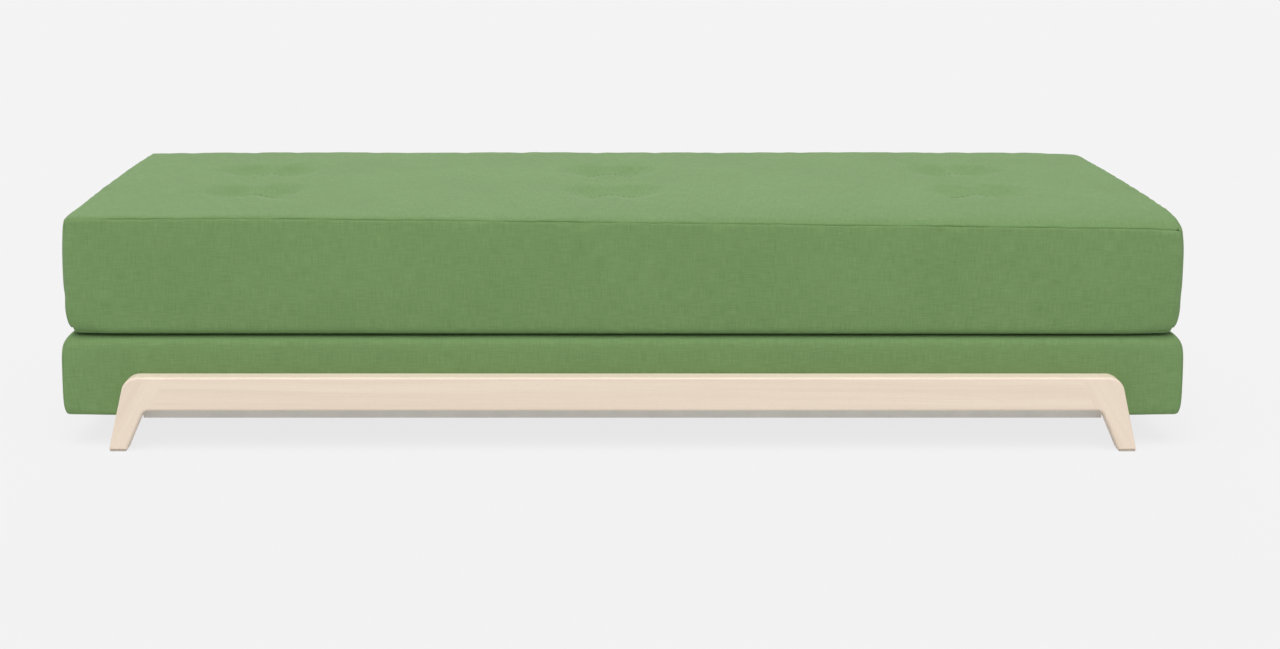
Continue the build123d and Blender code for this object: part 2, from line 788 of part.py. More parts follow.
with BuildPart() as hinge_pins:
    for hinge_x in hinge_places:
        with Locations((hinge_x, hinge_y, hinge_z)):
            Cylinder(pin_radius, leaf_width + 2 * leaf_gap, rotation=along_x)
        for side in (-1, 1):
            head_x = hinge_x + side * (leaf_width / 2 + leaf_gap + pin_head_thickness / 2)
            with Locations((head_x, hinge_y, hinge_z)):
                Cylinder(pin_head_radius, pin_head_thickness, rotation=along_x)
hinge_pins.part.label = "hinge_pins"
export_step(hinge_pins.part, "parts/hinge_pins.step")

for screw_node, screw_places in (
    ("lower_hinge_screws", lower_screw_places),
    ("upper_hinge_screws", upper_screw_places),
):
    with BuildPart() as hinge_screws:
        for screw_x, screw_y, screw_z in screw_places:
            with Locations((screw_x, screw_y - leaf_thickness / 2, screw_z)):
                Cone(hinge_screw_head_radius, hinge_screw_radius, leaf_thickness, rotation=along_y)
            with Locations((screw_x, screw_y - hinge_screw_length / 2, screw_z)):
                Cylinder(hinge_screw_radius, hinge_screw_length, rotation=along_y)
    hinge_screws.part.label = screw_node
    export_step(hinge_screws.part, "parts/" + screw_node + ".step")


# Zip in the back boxing, with a slider that rides over the teeth
zip_level = base_top + mattress_height / 2
teeth_y = face_y + zip_tape_thickness
teeth_half = zip_half - zip_tape_height / 2
slider_y = teeth_y + slider_clearance
slider_depth = zip_teeth_thickness + slider_wall
slider_x = teeth_half - zip_stop_length - slider_length / 2 - slider_clearance
pull_level = zip_level - slider_height / 2 - pull_length

with BuildPart() as zip_tape:
    with Locations((0, face_y, zip_level - zip_tape_height / 2)):
        Box(2 * zip_half, zip_tape_thickness, zip_tape_height, align=ahead)
zip_tape.part.label = "zip_tape"
export_step(zip_tape.part, "parts/zip_tape.step")

with BuildPart() as zip_teeth:
    with Locations((0, teeth_y, zip_level - zip_teeth_height / 2)):
        Box(2 * (teeth_half - zip_stop_length), zip_teeth_thickness, zip_teeth_height, align=ahead)
zip_teeth.part.label = "zip_teeth"
export_step(zip_teeth.part, "parts/zip_teeth.step")

with BuildPart() as zip_stops:
    for side in (-1, 1):
        stop_x = side * (teeth_half - zip_stop_length / 2)
        with Locations((stop_x, teeth_y, zip_level - zip_stop_height / 2)):
            Box(zip_stop_length, zip_teeth_thickness, zip_stop_height, align=ahead)
zip_stops.part.label = "zip_stops"
export_step(zip_stops.part, "parts/zip_stops.step")

with BuildPart() as zip_slider:
    with Locations((slider_x, slider_y, zip_level - slider_height / 2)):
        Box(slider_length, slider_depth, slider_height, align=ahead)
    with Locations((slider_x, slider_y, zip_level - zip_teeth_height / 2 - slider_clearance)):
        Box(
            slider_length,
            zip_teeth_thickness,
            zip_teeth_height + 2 * slider_clearance,
            align=ahead,
            mode=Mode.SUBTRACT,
        )
    with Locations((slider_x, slider_y + slider_depth, pull_level)):
        Box(pull_width, pull_thickness, pull_length, align=behind)
    with Locations((slider_x, slider_y + slider_depth, pull_level + pull_width / 2)):
        Cylinder(pull_width / 4, 2 * pull_thickness, rotation=along_y, mode=Mode.SUBTRACT)
zip_slider.part.label = "zip_slider"
export_step(zip_slider.part, "parts/zip_slider.step")
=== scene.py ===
import math

import bmesh
import bpy
import numpy as np
from mathutils import Matrix, Vector, noise


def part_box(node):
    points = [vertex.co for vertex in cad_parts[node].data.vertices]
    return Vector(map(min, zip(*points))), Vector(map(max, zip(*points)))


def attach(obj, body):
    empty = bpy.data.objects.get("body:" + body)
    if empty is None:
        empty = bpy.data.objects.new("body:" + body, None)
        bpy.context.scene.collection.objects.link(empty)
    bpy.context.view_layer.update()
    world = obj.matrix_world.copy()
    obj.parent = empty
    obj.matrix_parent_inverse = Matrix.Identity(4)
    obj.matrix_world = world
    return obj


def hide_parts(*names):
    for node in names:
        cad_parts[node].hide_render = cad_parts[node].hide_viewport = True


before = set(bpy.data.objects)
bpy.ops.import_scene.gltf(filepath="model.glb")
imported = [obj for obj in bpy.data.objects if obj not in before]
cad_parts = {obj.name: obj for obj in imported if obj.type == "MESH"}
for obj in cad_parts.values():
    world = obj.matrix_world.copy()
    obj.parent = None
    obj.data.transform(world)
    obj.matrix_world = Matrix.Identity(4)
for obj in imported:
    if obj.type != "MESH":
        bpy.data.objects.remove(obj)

# Sofa bed: a tufted mattress that folds out from an upholstered base on two pale wooden arches.
# Metres, in the part's own frame: X along the length, the front at -Y, the floor at Z = 0.

for startup in ("Cube", "Light", "Camera"):
    if startup in bpy.data.objects:
        bpy.data.objects.remove(bpy.data.objects[startup])
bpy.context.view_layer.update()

# Boxes of the construction's own pieces, which the pieces here are fitted to
panel_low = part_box("mattress_bottom_panel")[0]
boxing_low, boxing_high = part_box("mattress_boxing")
cover_low, cover_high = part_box("base_cover")
tape_low, tape_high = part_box("zip_tape")
teeth_low, teeth_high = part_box("zip_teeth")
slider_low, slider_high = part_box("zip_slider")
lining_low, lining_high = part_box("dust_cover")
disc_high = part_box("tuft_discs")[1]
leaf_screws_low, leaf_screws_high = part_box("upper_hinge_screws")
angle_screws_low, angle_screws_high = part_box("angle_screws")

# Fabric: step between its rows, closer rows beside a seam, depth of the seams, turn towards an end
fabric_step = 0.0155
seam_rows = (0, 0.0025, 0.006, 0.012, 0.02)
seam_depth = 0.0034
base_seam_depth = 0.0016
end_turn = 0.09

# Mattress cover: its top seam, its room in the construction's box, its swelling and its splay
seam_level = disc_high.z + 0.004
seam_lift = 0.0115
front_room = 0.0015
rear_room = 0.0004
under_room = 0.0003
side_bulge = 0.0035
end_bulge = 0.005
end_fullness = 4
end_inset = 0.0085
end_splay = 0.007
splay_run = 0.55

# Mattress edges: how far the rounding reaches in, and what is added or taken off on the way
end_reach = 0.019
end_reach_less_high = 0.012
end_reach_more_front = 0.013
front_zone = 0.07
front_blend = 0.06
front_reach = 0.014
front_reach_more_low = 0.008
front_reach_more_end = 0.012
rear_reach = 0.008
under_reach = 0.015
under_reach_more_end = 0.019
top_reach = 0.005
top_reach_more_right = 0.006

# Top seam: its sag along the front and at the corners, and how far from them each fades
seam_sag = 0.018
sag_start = -0.6
sag_run = 1.5
sag_fade_back = 0.05
sag_fade_down = 0.07
corner_sag = 0.003
back_left_sag = 0.0028
back_right_sag = 0.006
corner_fade = 0.06
filling_sag = 1.15

# Tufts: each is two lobes side by side, drawn down by one tie
tuft_columns = (-0.695, -0.015, 0.675)
tuft_rows = (-0.11, 0.14)
tuft_places = [(column, row) for column in tuft_columns for row in tuft_rows]
tuft_radius = 0.058
tuft_reach = 0.078
tuft_lobe = 0.042
tuft_depth = 0.013
under_tuft_depth = 0.004
tuft_fullness = 1.6

# Filling of the mattress cover: how firmly each part is held, and how far it may move
fabric_settings = {
    "quality": 5,
    "mass": 0.3,
    "tension_stiffness": 25,
    "compression_stiffness": 25,
    "shear_stiffness": 8,
    "bending_stiffness": 0.6,
    "pin_stiffness": 0.8,
}
filling_steps = 20
filling_pressure = 2.0
filling_slack = 0.012
side_hold = 0.35
top_hold = 0.12
low_hold = 0.8
low_band = 0.045
seam_hold = 0.75
tie_hold_reach = 0.006
tie_hold_blend = 0.03
top_move = 0.0015
side_move = 0.004
end_move_less = 0.002
end_move_zone = 0.06
end_move_blend = 0.05

# Unevenness of the fabric: the length, height and seed of each wave
mattress_waves = ((0.16, 0.0009, 3.0), (0.07, 0.0004, 8.0))
seam_wave = (0.11, 0.0016, 21.0)
base_wave = (0.18, 0.0007, 5.0)

# Base cover: its room, the reach of its edges' rounding, its ends' swelling, and the foam's room
base_room = (0.0004, 0.0004, 0.0004)
base_low_room = (0.0004, 0.0004, 0.0002)
base_corner = 0.022
base_low_corner = 0.008
base_front_turn = 0.028
base_front_low_turn = 0.012
base_rear_turn = 0.008
base_under_turn = 0.005
base_under_more_end = 0.009
base_top_turn = 0.017
base_edge_drop = 0.036
base_bulge = 0.0068
base_bulge_less_low = 0.003
base_bulge_level = 0.085
base_bulge_blend = 0.025
foam_bend = 1.25
cloth_room = 0.0035
corner_room = 0.0045
corner_reach = 0.03

# Cloth and wood: threads, wander of the grain, slope of the legs in degrees, painted shade between the
# threads and the cloth's fade, gloss and rise
patches_per_metre = 28.0
thread_dip = 0.4
next_thread = 0.731
grain_wander = 0.035
leg_slope = 59.7

# Painted shade: how dark the cloth's colour is drawn where it lies low between its threads
painted_valley_shade = 0.80
cloth_fade = (0.965, 1.02)
cloth_roughness = (0.95, 0.86)
cloth_gloss = 0.15
sheen_roughness = 0.45
thread_rise = 0.35
grain_rise = 0.00012

# Plain finishes: colour, duller colour, roughness, speckles in a metre, their rise, scuffs of a metal
plain_finishes = {
    "painted_grey": ((218, 217, 213), (206, 205, 201), (0.42, 0.52), 900.0, 0.00008),
    "zinc_plate": ((196, 198, 200), (170, 173, 176), (0.28, 0.42), 1400.0, 0.00003, 0.6),
    "brass_insert": ((206, 172, 96), (176, 140, 72), (0.3, 0.45), 1400.0, 0.00003, 0.5),
    "cut_foam": ((238, 226, 178), (218, 202, 150), (0.9, 0.98), 700.0, 0.0006),
    "loose_wadding": ((242, 241, 236), (226, 225, 220), (0.9, 0.98), 320.0, 0.0012),
    "glide_felt": ((206, 198, 186), (184, 175, 162), (0.92, 0.99), 1300.0, 0.0004),
    "disc_felt": ((204, 200, 188), (180, 176, 164), (0.92, 0.99), 1300.0, 0.0004),
    "waxed_cord": ((222, 216, 200), (196, 188, 170), (0.6, 0.75), 2400.0, 0.0002),
    "zip_plastic": ((96, 124, 80), (84, 112, 70), (0.34, 0.46), 2600.0, 0.00003),
    "zip_metal": ((176, 174, 168), (140, 138, 132), (0.3, 0.45), 2000.0, 0.00002, 0.4),
    "sewing_thread": ((104, 134, 86), (90, 120, 74), (0.6, 0.8), 3000.0, 0.0001),
    "staple_wire": ((190, 190, 188), (150, 150, 148), (0.3, 0.45), 1800.0, 0.00002, 0.3),
}

# Zip, stitches, staples (length, width and rise) and where the screws that show are
zip_pitch = 0.0028
stitch_pitch = 0.0045
stitch_share = 0.72
stitch_width = 0.0009
stitch_margin = 0.0035
stitch_lift = 0.0001
stitch_end_room = 0.006
tuft_stitch_count = 9
tuft_stitch_pitch = 0.0105
tuft_stitch_length = 0.0075
tuft_stitch_width = 0.0011
staple_size = (0.010, 0.0012, 0.0009)
staple_pitch = 0.055
staple_margin = 0.008
staple_end_room = 0.02
staple_side_room = 0.03
hinge_columns = (-0.7, 0.0, 0.7)
leaf_screw_radius = 0.004
leaf_screw_spread = 0.018
angle_screw_radius = 0.005
screw_turn = 31

# Screw heads: the driver's cross, and rings of the head by kind, radius and rise as shares of it
cross_arm = 0.52
cross_slot = 0.13
screw_rings = (
    ("cross", 0.72, 0.05),
    ("cross", 1.0, 0.27),
    ("round", 0.72, 0.23),
    ("round", 0.9, 0.13),
    ("round", 1.0, 0.02),
    ("round", 1.0, -0.02),
)

# A zip tooth, in millimetres: across and up, its middle, and where and how far its crown narrows
millimetre = 0.001
tooth_side = ((-0.75, -3.0), (-0.55, -0.7), (-0.8, 0.3), (-0.5, 1.1))
tooth_outline = (*tooth_side, *[(-across, up) for across, up in reversed(tooth_side)])
tooth_middle = 0.95
tooth_straight = 0.7
tooth_crown = 0.72

# Zip slider, in millimetres: half widths along its body, its side, channel and bridge, and its pull
slider_stations = ((-1.0, 4.2), (-0.85, 4.7), (-0.3, 4.9), (0.35, 5.8), (0.85, 5.7), (1.0, 5.0))
slider_side = ((0.0, 0.0), (0.0, 2.4), (1.0, 3.9))
slider_back = 4.5
slider_channel = ((-3.3, 0.0), (-3.3, 1.2), (-3.3, 2.2), (0.0, 2.2), (3.3, 2.2), (3.3, 1.2), (3.3, 0.0))
slider_rim = 0.9
slider_rim_lift = 0.86
bridge_line = ((-4.2, 3.6), (-3.9, 5.2), (-2.6, 6.3), (0.0, 6.7), (2.6, 6.3), (3.9, 5.2), (4.2, 3.6))
bridge_thickness = 0.7
bridge_taper = 0.17
pull_top = 1.6
pull_bottom = -32.0
pull_half_width = 3.5
pull_squareness = 4
pull_hole = 1.75
pull_hole_level = -28.5
pull_edges = ((4.75, 0.25), (5.0, 0.0), (5.6, 0.0), (5.85, 0.25))
pull_hole_edges = ((5.85, 0.2), (5.6, 0.0), (5.0, 0.0), (4.75, 0.2))

# Studio: a level is the share of white on a surface that faces the light, angles are in degrees
background_shade = (244, 243, 244)
sky_level = 0.43
lamp_level = 0.69
lamp_tilt = 23
lamp_spread = 50
rear_level = 0.24
rear_tilt = -74
rear_spread = 24
lamp_roll = -4
floor_reach = 30.0
floor_albedo = 0.80
floor_blue = 0.992
shadow_share = 0.12

# Camera: its place, its tilt in degrees, its lens and sensor in millimetres, and its shift
camera_place = (-0.085, -3.836, 1.039)
camera_tilt = 12
camera_lens = 55.8
camera_sensor = 36
camera_shift = (0.0507, -0.0353)


def smooth(share):
    """0 below 0 and 1 above 1, with an even turn between them."""
    share = np.clip(share, 0, 1)
    return share * share * (3 - 2 * share)


def rows(low, high, step):
    """Rows of a panel, close together beside its seams and about a step apart elsewhere."""
    close = np.array(seam_rows)
    count = max(2, round((high - low - 2 * close[-1]) / step) + 1)
    even = np.linspace(low + close[-1], high - close[-1], count)
    return np.concatenate([low + close[:-1], even, (high - close[:-1])[::-1]])


def near_end(place, end):
    """0 away from an end along X and 1 at it."""
    return smooth((place - end + end_turn) / end_turn)


def sewn_box(xs, ys, zs):
    """Points, quads and thread directions of a closed box cover, panel by panel.

    The threads of each panel run along its own edges, so every corner of a quad keeps its place on the
    flat cloth, in metres."""
    last = (len(xs) - 1, len(ys) - 1, len(zs) - 1)
    number = {}
    quads = []
    flat = []

    def point(i, j, k):
        return number.setdefault((i, j, k), len(number))

    def panel(first, second, place, turned):
        for a in range(first):
            for b in range(second):
                corners = [place(a, b), place(a + 1, b), place(a + 1, b + 1), place(a, b + 1)]
                if turned:
                    corners.reverse()
                quads.append([point(*corner) for corner in corners])
                flat.append(corners)

    panel(last[0], last[1], lambda a, b: (a, b, last[2]), False)
    panel(last[0], last[1], lambda a, b: (a, b, 0), True)
    panel(last[0], last[2], lambda a, b: (a, 0, b), False)
    panel(last[0], last[2], lambda a, b: (a, last[1], b), True)
    panel(last[1], last[2], lambda a, b: (0, a, b), True)
    panel(last[1], last[2], lambda a, b: (last[0], a, b), False)
    keys = np.array(list(number))
    points = np.stack([xs[keys[:, 0]], ys[keys[:, 1]], zs[keys[:, 2]]], axis=1)
    threads = []
    for corners in flat:
        steady = [axis for axis in range(3) if len({corner[axis] for corner in corners}) == 1][0]
        across, up = [axis for axis in range(3) if axis != steady]
        for corner in corners:
            place = (xs[corner[0]], ys[corner[1]], zs[corner[2]])
            threads.append((place[across], place[up]))
    return points, quads, np.array(threads), keys


def rounded(points, low, high, radii):
    """The points of a box moved onto the same box with rounded edges.

    radii holds, for each point and axis, the radius at the low side and at the high side."""
    core = np.clip(points, low + radii[..., 0], high - radii[..., 1])
    away = points - core
    radius = np.where(away > 0, radii[..., 1], radii[..., 0])
    share = away / radius
    size = np.linalg.norm(share, axis=1)
    reach = np.abs(share).max(axis=1)
    scale = np.divide(reach, size, out=np.ones_like(size), where=size > 0)
    return core + share * scale[:, None] * radius


def undulation(points, wavelength, height, seed):
    """A smooth wave at each point, the same on every run, up to about its height."""
    shift = Vector((seed, seed * 0.37, -seed * 0.61))
    return np.array([noise.noise(Vector(p) / wavelength + shift) for p in points]) * height


def new_piece(name, points, faces, material, flat_sided=False):
    """A mesh object from points and faces, smooth shaded unless its sides are flat."""
    mesh = bpy.data.meshes.new(name)
    mesh.from_pydata([tuple(p) for p in points], [], [list(f) for f in faces])
    mesh.validate()
    if flat_sided:
        mesh.shade_flat()
    else:
        mesh.shade_smooth()
    mesh.materials.append(material)
    piece = bpy.data.objects.new(name, mesh)
    bpy.context.scene.collection.objects.link(piece)
    return piece


def lay_threads(piece, threads):
    """Keeps each quad corner's place on the flat cloth, for the weave to follow."""
    layer = piece.data.uv_layers.new(name="threads")
    layer.uv.foreach_set("vector", threads.astype(np.float32).ravel())


def read_vectors(items, label):
    """One row of three numbers for each item, read under the label that Blender keeps them by."""
    found = np.zeros(len(items) * 3, np.float32)
    items.foreach_get(label, found)
    return found.reshape(-1, 3).astype(float)


def positions(mesh):
    """The place of each point of a mesh."""
    return read_vectors(mesh.vertices, "co")


def set_positions(mesh, points):
    """Moves the points of a mesh to new places."""
    mesh.vertices.foreach_set("co", points.astype(np.float32).ravel())
    mesh.update()


def outward(mesh):
    """The direction that each point of a mesh faces."""
    return read_vectors(mesh.vertex_normals, "vector")


def set_all(thing, **values):
    """Sets several properties of one thing."""
    for name, value in values.items():
        setattr(thing, name, value)


def fill_cover(piece, held, pressure, slack, most):
    """Fills a sewn cover with a cloth simulation.

    held is how firmly the filling holds each point, from 0 to 1, slack is the share by which the cloth
    is cut larger, and most is how far each point may move."""
    start = positions(piece.data)
    group = piece.vertex_groups.new(name="held")
    steps = np.round(held, 2)
    for weight in np.unique(steps):
        group.add([int(v) for v in np.flatnonzero(steps == weight)], float(weight), "REPLACE")
    cloth = piece.modifiers.new("filling", "CLOTH")
    set_all(cloth.settings, **fabric_settings)
    cloth.settings.vertex_group_mass = group.name
    cloth.settings.shrink_min = -slack
    cloth.settings.use_pressure = True
    cloth.settings.uniform_pressure_force = pressure
    cloth.settings.effector_weights.gravity = 0
    cloth.collision_settings.use_collision = False
    set_all(cloth.point_cache, frame_start=1, frame_end=filling_steps)
    for step in range(1, filling_steps + 1):
        bpy.context.scene.frame_set(step)
    depsgraph = bpy.context.evaluated_depsgraph_get()
    moved = positions(piece.evaluated_get(depsgraph).data) - start
    length = np.linalg.norm(moved, axis=1)
    share = np.minimum(1, most / np.maximum(length, 1e-9))
    piece.modifiers.remove(cloth)
    piece.vertex_groups.remove(group)
    bpy.context.scene.frame_set(1)
    set_positions(piece.data, start + moved * share[:, None])


def sew(piece, seams, depth):
    """Draws the seam rows into the cloth and keeps their edges sharp under the subdivision."""
    mesh = piece.data
    points = positions(mesh)
    directions = outward(mesh)
    points[seams] -= directions[seams] * depth
    set_positions(mesh, points)
    edges = np.zeros(len(mesh.edges) * 2, np.int32)
    mesh.edges.foreach_get("vertices", edges)
    sewn = seams[edges.reshape(-1, 2)].all(axis=1)
    crease = mesh.attributes.new("crease_edge", "FLOAT", "EDGE")
    crease.data.foreach_set("value", sewn.astype(np.float32))


def soften(piece):
    """One subdivision, which rounds the cloth between its rows."""
    set_all(piece.modifiers.new("softened", "SUBSURF"), levels=1, render_levels=1)


def feed(tree, fed, feeds):
    """Links or sets the inputs of a node, by name or place."""
    for key, value in feeds.items():
        if isinstance(value, bpy.types.NodeSocket):
            tree.links.new(value, fed.inputs[key])
        else:
            fed.inputs[key].default_value = value


def node(tree, kind, feeds=None, **settings):
    """A new shader node, with its settings made and its inputs fed."""
    made = tree.nodes.new("ShaderNode" + kind)
    set_all(made, **settings)
    feed(tree, made, feeds or {})
    return made


def reckon(tree, operation, *values):
    """The result of a math node."""
    return node(tree, "Math", dict(enumerate(values)), operation=operation).outputs[0]


def blend_colours(tree, share, first, second):
    """A colour between two, by a share from 0 to 1."""
    return node(tree, "Mix", {0: share, 6: first, 7: second}, data_type="RGBA").outputs[2]


def between(tree, value, low, high, to_low=0.0, to_high=1.0):
    """A value carried from one range to another and held inside it."""
    feeds = {0: value, 1: low, 2: high, 3: to_low, 4: to_high}
    return node(tree, "MapRange", feeds).outputs[0]


def even_noise(tree, place, scale, detail):
    """Noise that is as coarse along every axis."""
    return node(tree, "TexNoise", {"Vector": place, "Scale": scale, "Detail": detail}).outputs[0]


def grain_noise(tree, place, stretch, detail=2.0, seed=0.0):
    """Noise drawn out along the axes: stretch is how many waves each axis has in a metre."""
    drawn = node(tree, "Mapping", {0: place, 1: (seed, seed, seed), 3: stretch}).outputs[0]
    return even_noise(tree, drawn, 1.0, detail)


def new_group(name, usual):
    """A shader node group that takes a place and named values, which have usual ones, and its inputs."""
    tree = bpy.data.node_groups.new(name, "ShaderNodeTree")
    tree.interface.new_socket(name="Place", in_out="INPUT", socket_type="NodeSocketVector")
    for label, value in usual.items():
        socket = tree.interface.new_socket(name=label, in_out="INPUT", socket_type="NodeSocketFloat")
        socket.default_value = value
    return tree, tree.nodes.new("NodeGroupInput").outputs


def give_out(tree, results):
    """Gives a shader node group its named outputs."""
    for label in results:
        tree.interface.new_socket(name=label, in_out="OUTPUT", socket_type="NodeSocketFloat")
    feed(tree, tree.nodes.new("NodeGroupOutput"), results)


def make_woven_threads():
    """Plain weave: which thread lies on top, how each thread differs, and how high the cloth stands."""
    tree, given = new_group("woven_threads", {"Threads per metre": 900.0, "Slub length": 0.03})
    place = given["Place"]
    count = given["Threads per metre"]
    parts = node(tree, "SeparateXYZ", {0: place})
    warp = reckon(tree, "MULTIPLY", parts.outputs[0], count)
    weft = reckon(tree, "MULTIPLY", parts.outputs[1], count)
    warp_wave = reckon(tree, "SINE", reckon(tree, "MULTIPLY", warp, math.pi))
    weft_wave = reckon(tree, "SINE", reckon(tree, "MULTIPLY", weft, math.pi))
    crossing = reckon(tree, "MULTIPLY", warp_wave, weft_wave)
    on_top = reckon(tree, "MULTIPLY_ADD", crossing, 0.5, 0.5)
    under = reckon(tree, "SUBTRACT", 1.0, on_top)
    warp_lift = reckon(tree, "MULTIPLY_ADD", on_top, thread_dip, 1 - thread_dip)
    weft_lift = reckon(tree, "MULTIPLY_ADD", under, thread_dip, 1 - thread_dip)
    warp_height = reckon(tree, "MULTIPLY", reckon(tree, "ABSOLUTE", warp_wave), warp_lift)
    weft_height = reckon(tree, "MULTIPLY", reckon(tree, "ABSOLUTE", weft_wave), weft_lift)
    height = reckon(tree, "MAXIMUM", warp_height, weft_height)
    slub = given["Slub length"]
    warp_run = reckon(tree, "DIVIDE", parts.outputs[1], slub)
    weft_run = reckon(tree, "DIVIDE", parts.outputs[0], slub)
    warp_number = reckon(tree, "MULTIPLY", reckon(tree, "FLOOR", warp), next_thread)
    weft_number = reckon(tree, "MULTIPLY", reckon(tree, "FLOOR", weft), next_thread)
    warp_place = node(tree, "CombineXYZ", {0: warp_number, 1: warp_run, 2: 3.0}).outputs[0]
    weft_place = node(tree, "CombineXYZ", {0: weft_run, 1: weft_number, 2: 9.0}).outputs[0]
    warp_shade = even_noise(tree, warp_place, 1.0, 1.0)
    weft_shade = even_noise(tree, weft_place, 1.0, 1.0)
    top_thread = reckon(tree, "GREATER_THAN", on_top, 0.5)
    shade = node(tree, "Mix", {0: top_thread, 2: weft_shade, 3: warp_shade}).outputs[0]
    fade = grain_noise(tree, place, (5.0, 5.0, 5.0), 3.0)
    give_out(tree, {"Thread shade": shade, "Cloth height": height, "Fade": fade})
    return tree


def make_wood_grain():
    """Straight grain along the first axis: growth bands, fine fibres and short dark flecks."""
    tree, given = new_group("wood_grain", {"Band width": 0.012})
    place = given["Place"]
    wander = grain_noise(tree, place, (1.4, 5.0, 5.0), 2.0, 4.0)
    lifted = reckon(tree, "MULTIPLY", wander, grain_wander)
    parts = node(tree, "SeparateXYZ", {0: place})
    height = reckon(tree, "ADD", parts.outputs[2], lifted)
    width = given["Band width"]
    ring = reckon(tree, "DIVIDE", height, width)
    depth = reckon(tree, "DIVIDE", parts.outputs[1], reckon(tree, "MULTIPLY", width, 4.0))
    long_way = reckon(tree, "MULTIPLY", parts.outputs[0], 0.9)
    ring_place = node(tree, "CombineXYZ", {0: long_way, 1: depth, 2: ring}).outputs[0]
    bands = even_noise(tree, ring_place, 1.0, 3.0)
    fibres = grain_noise(tree, place, (9.0, 700.0, 700.0), 2.0, 1.0)
    fleck_noise = grain_noise(tree, place, (160.0, 1100.0, 1100.0), 1.0, 2.0)
    flecks = between(tree, fleck_noise, 0.62, 0.74)
    give_out(tree, {"Bands": bands, "Fibres": fibres, "Flecks": flecks})
    return tree


def make_fine_marks():
    """Tiny unevenness of a finished surface: speckle, soft patches and handling marks."""
    tree, given = new_group("fine_marks", {"Speckles per metre": 1500.0})
    place = given["Place"]
    count = given["Speckles per metre"]
    speckle = even_noise(tree, place, count, 2.0)
    patches = even_noise(tree, place, patches_per_metre, 3.0)
    scratches = grain_noise(tree, place, (30.0, 900.0, 420.0), 2.0, 7.0)
    marks = between(tree, scratches, 0.6, 0.72)
    give_out(tree, {"Speckle": speckle, "Patches": patches, "Marks": marks})
    return tree


woven_threads = make_woven_threads()
wood_grain = make_wood_grain()
fine_marks = make_fine_marks()


def tint(red, green, blue):
    """A colour from its values as seen on a screen, 0 to 255, as linear light."""
    shares = [value / 255 for value in (red, green, blue)]
    return tuple(s / 12.92 if s <= 0.04045 else ((s + 0.055) / 1.055) ** 2.4 for s in shares) + (1.0,)


# Each wood: its own colour, its bands' and its flecks'
beech_colours = (tint(245, 228, 210), tint(237, 218, 199), tint(218, 194, 170))
sawn_colours = (tint(222, 196, 152), tint(198, 160, 108), tint(150, 105, 62))
steamed_colours = (tint(214, 178, 138), tint(196, 154, 112), tint(140, 98, 66))


def new_material(name):
    """A material, its node tree and its shader."""
    material = bpy.data.materials.new(name)
    material.use_nodes = True
    return material, material.node_tree, material.node_tree.nodes["Principled BSDF"]


def placed(tree, group, feeds):
    """A shared effect, placed in a material's tree with its own values."""
    return node(tree, "Group", feeds, node_tree=group).outputs


def raise_surface(tree, shader, height, distance, strength=1.0):
    """Feeds the shader's normal from a height, whose full rise is a distance in metres."""
    bump = node(tree, "Bump", {"Height": height, "Distance": distance, "Strength": strength})
    tree.links.new(bump.outputs[0], shader.inputs["Normal"])


def own_place(tree):
    """The place on the piece itself, in metres, which moves with the piece."""
    return node(tree, "TexCoord").outputs["Object"]


def make_cloth(name, dark, light, threads_per_metre, sheen, lie):
    """A plain woven cloth whose threads differ a little from each other, with painted shade down between
    them.

    Sewn covers follow their own thread map; the others lie flat or stand upright along X."""
    material, tree, shader = new_material(name)
    if lie == "sewn":
        place = node(tree, "UVMap", uv_map="threads").outputs[0]
    else:
        stand = (math.radians(-90 if lie == "upright" else 0), 0.0, 0.0)
        place = node(tree, "Mapping", {0: own_place(tree), 2: stand}).outputs[0]
    weave = placed(tree, woven_threads, {"Place": place, "Threads per metre": threads_per_metre})
    thread = between(tree, weave["Thread shade"], 0.3, 0.7)
    yarn = blend_colours(tree, thread, dark, light)
    # Painted shade: the colour is darkened where the cloth lies low between the threads, standing in for
    # the shadow there
    valley_shade = between(tree, weave["Cloth height"], 0.1, 0.8, painted_valley_shade, 1.0)
    fade = between(tree, weave["Fade"], 0.3, 0.7, *cloth_fade)
    level = reckon(tree, "MULTIPLY", valley_shade, fade)
    coloured = node(tree, "VectorMath", {0: yarn, 3: level}, operation="SCALE").outputs[0]
    rough = between(tree, weave["Thread shade"], 0.3, 0.7, *cloth_roughness)
    feed(tree, shader, {"Base Color": coloured, "Roughness": rough, "Sheen Weight": sheen})
    feed(tree, shader, {"Sheen Roughness": sheen_roughness, "Specular IOR Level": cloth_gloss})
    raise_surface(tree, shader, weave["Cloth height"], thread_rise / threads_per_metre, 0.7)
    return material


def make_wood(name, turn=0.0, colours=beech_colours, band_width=0.011, roughness=0.46, gloss=0.45):
    """Wood whose grain runs along X, or turned about Y by an angle in degrees.

    The colours are the plain wood's, its darker bands' and its flecks'."""
    material, tree, shader = new_material(name)
    plain, band, fleck = colours
    angle = (0.0, math.radians(turn), 0.0)
    place = node(tree, "Mapping", {0: own_place(tree), 2: angle}).outputs[0]
    grain = placed(tree, wood_grain, {"Place": place, "Band width": band_width})
    bands = between(tree, grain["Bands"], 0.38, 0.62)
    fibres = between(tree, grain["Fibres"], 0.35, 0.65)
    tone = reckon(tree, "MULTIPLY_ADD", fibres, 0.35, reckon(tree, "MULTIPLY", bands, 0.65))
    wood = blend_colours(tree, tone, plain, band)
    flecked = blend_colours(tree, reckon(tree, "MULTIPLY", grain["Flecks"], 0.5), wood, fleck)
    rough = between(tree, grain["Fibres"], 0.3, 0.7, roughness - 0.05, roughness + 0.06)
    feed(tree, shader, {"Base Color": flecked, "Roughness": rough, "Specular IOR Level": gloss})
    height = reckon(tree, "SUBTRACT", fibres, grain["Flecks"])
    raise_surface(tree, shader, height, grain_rise, 0.5)
    return material


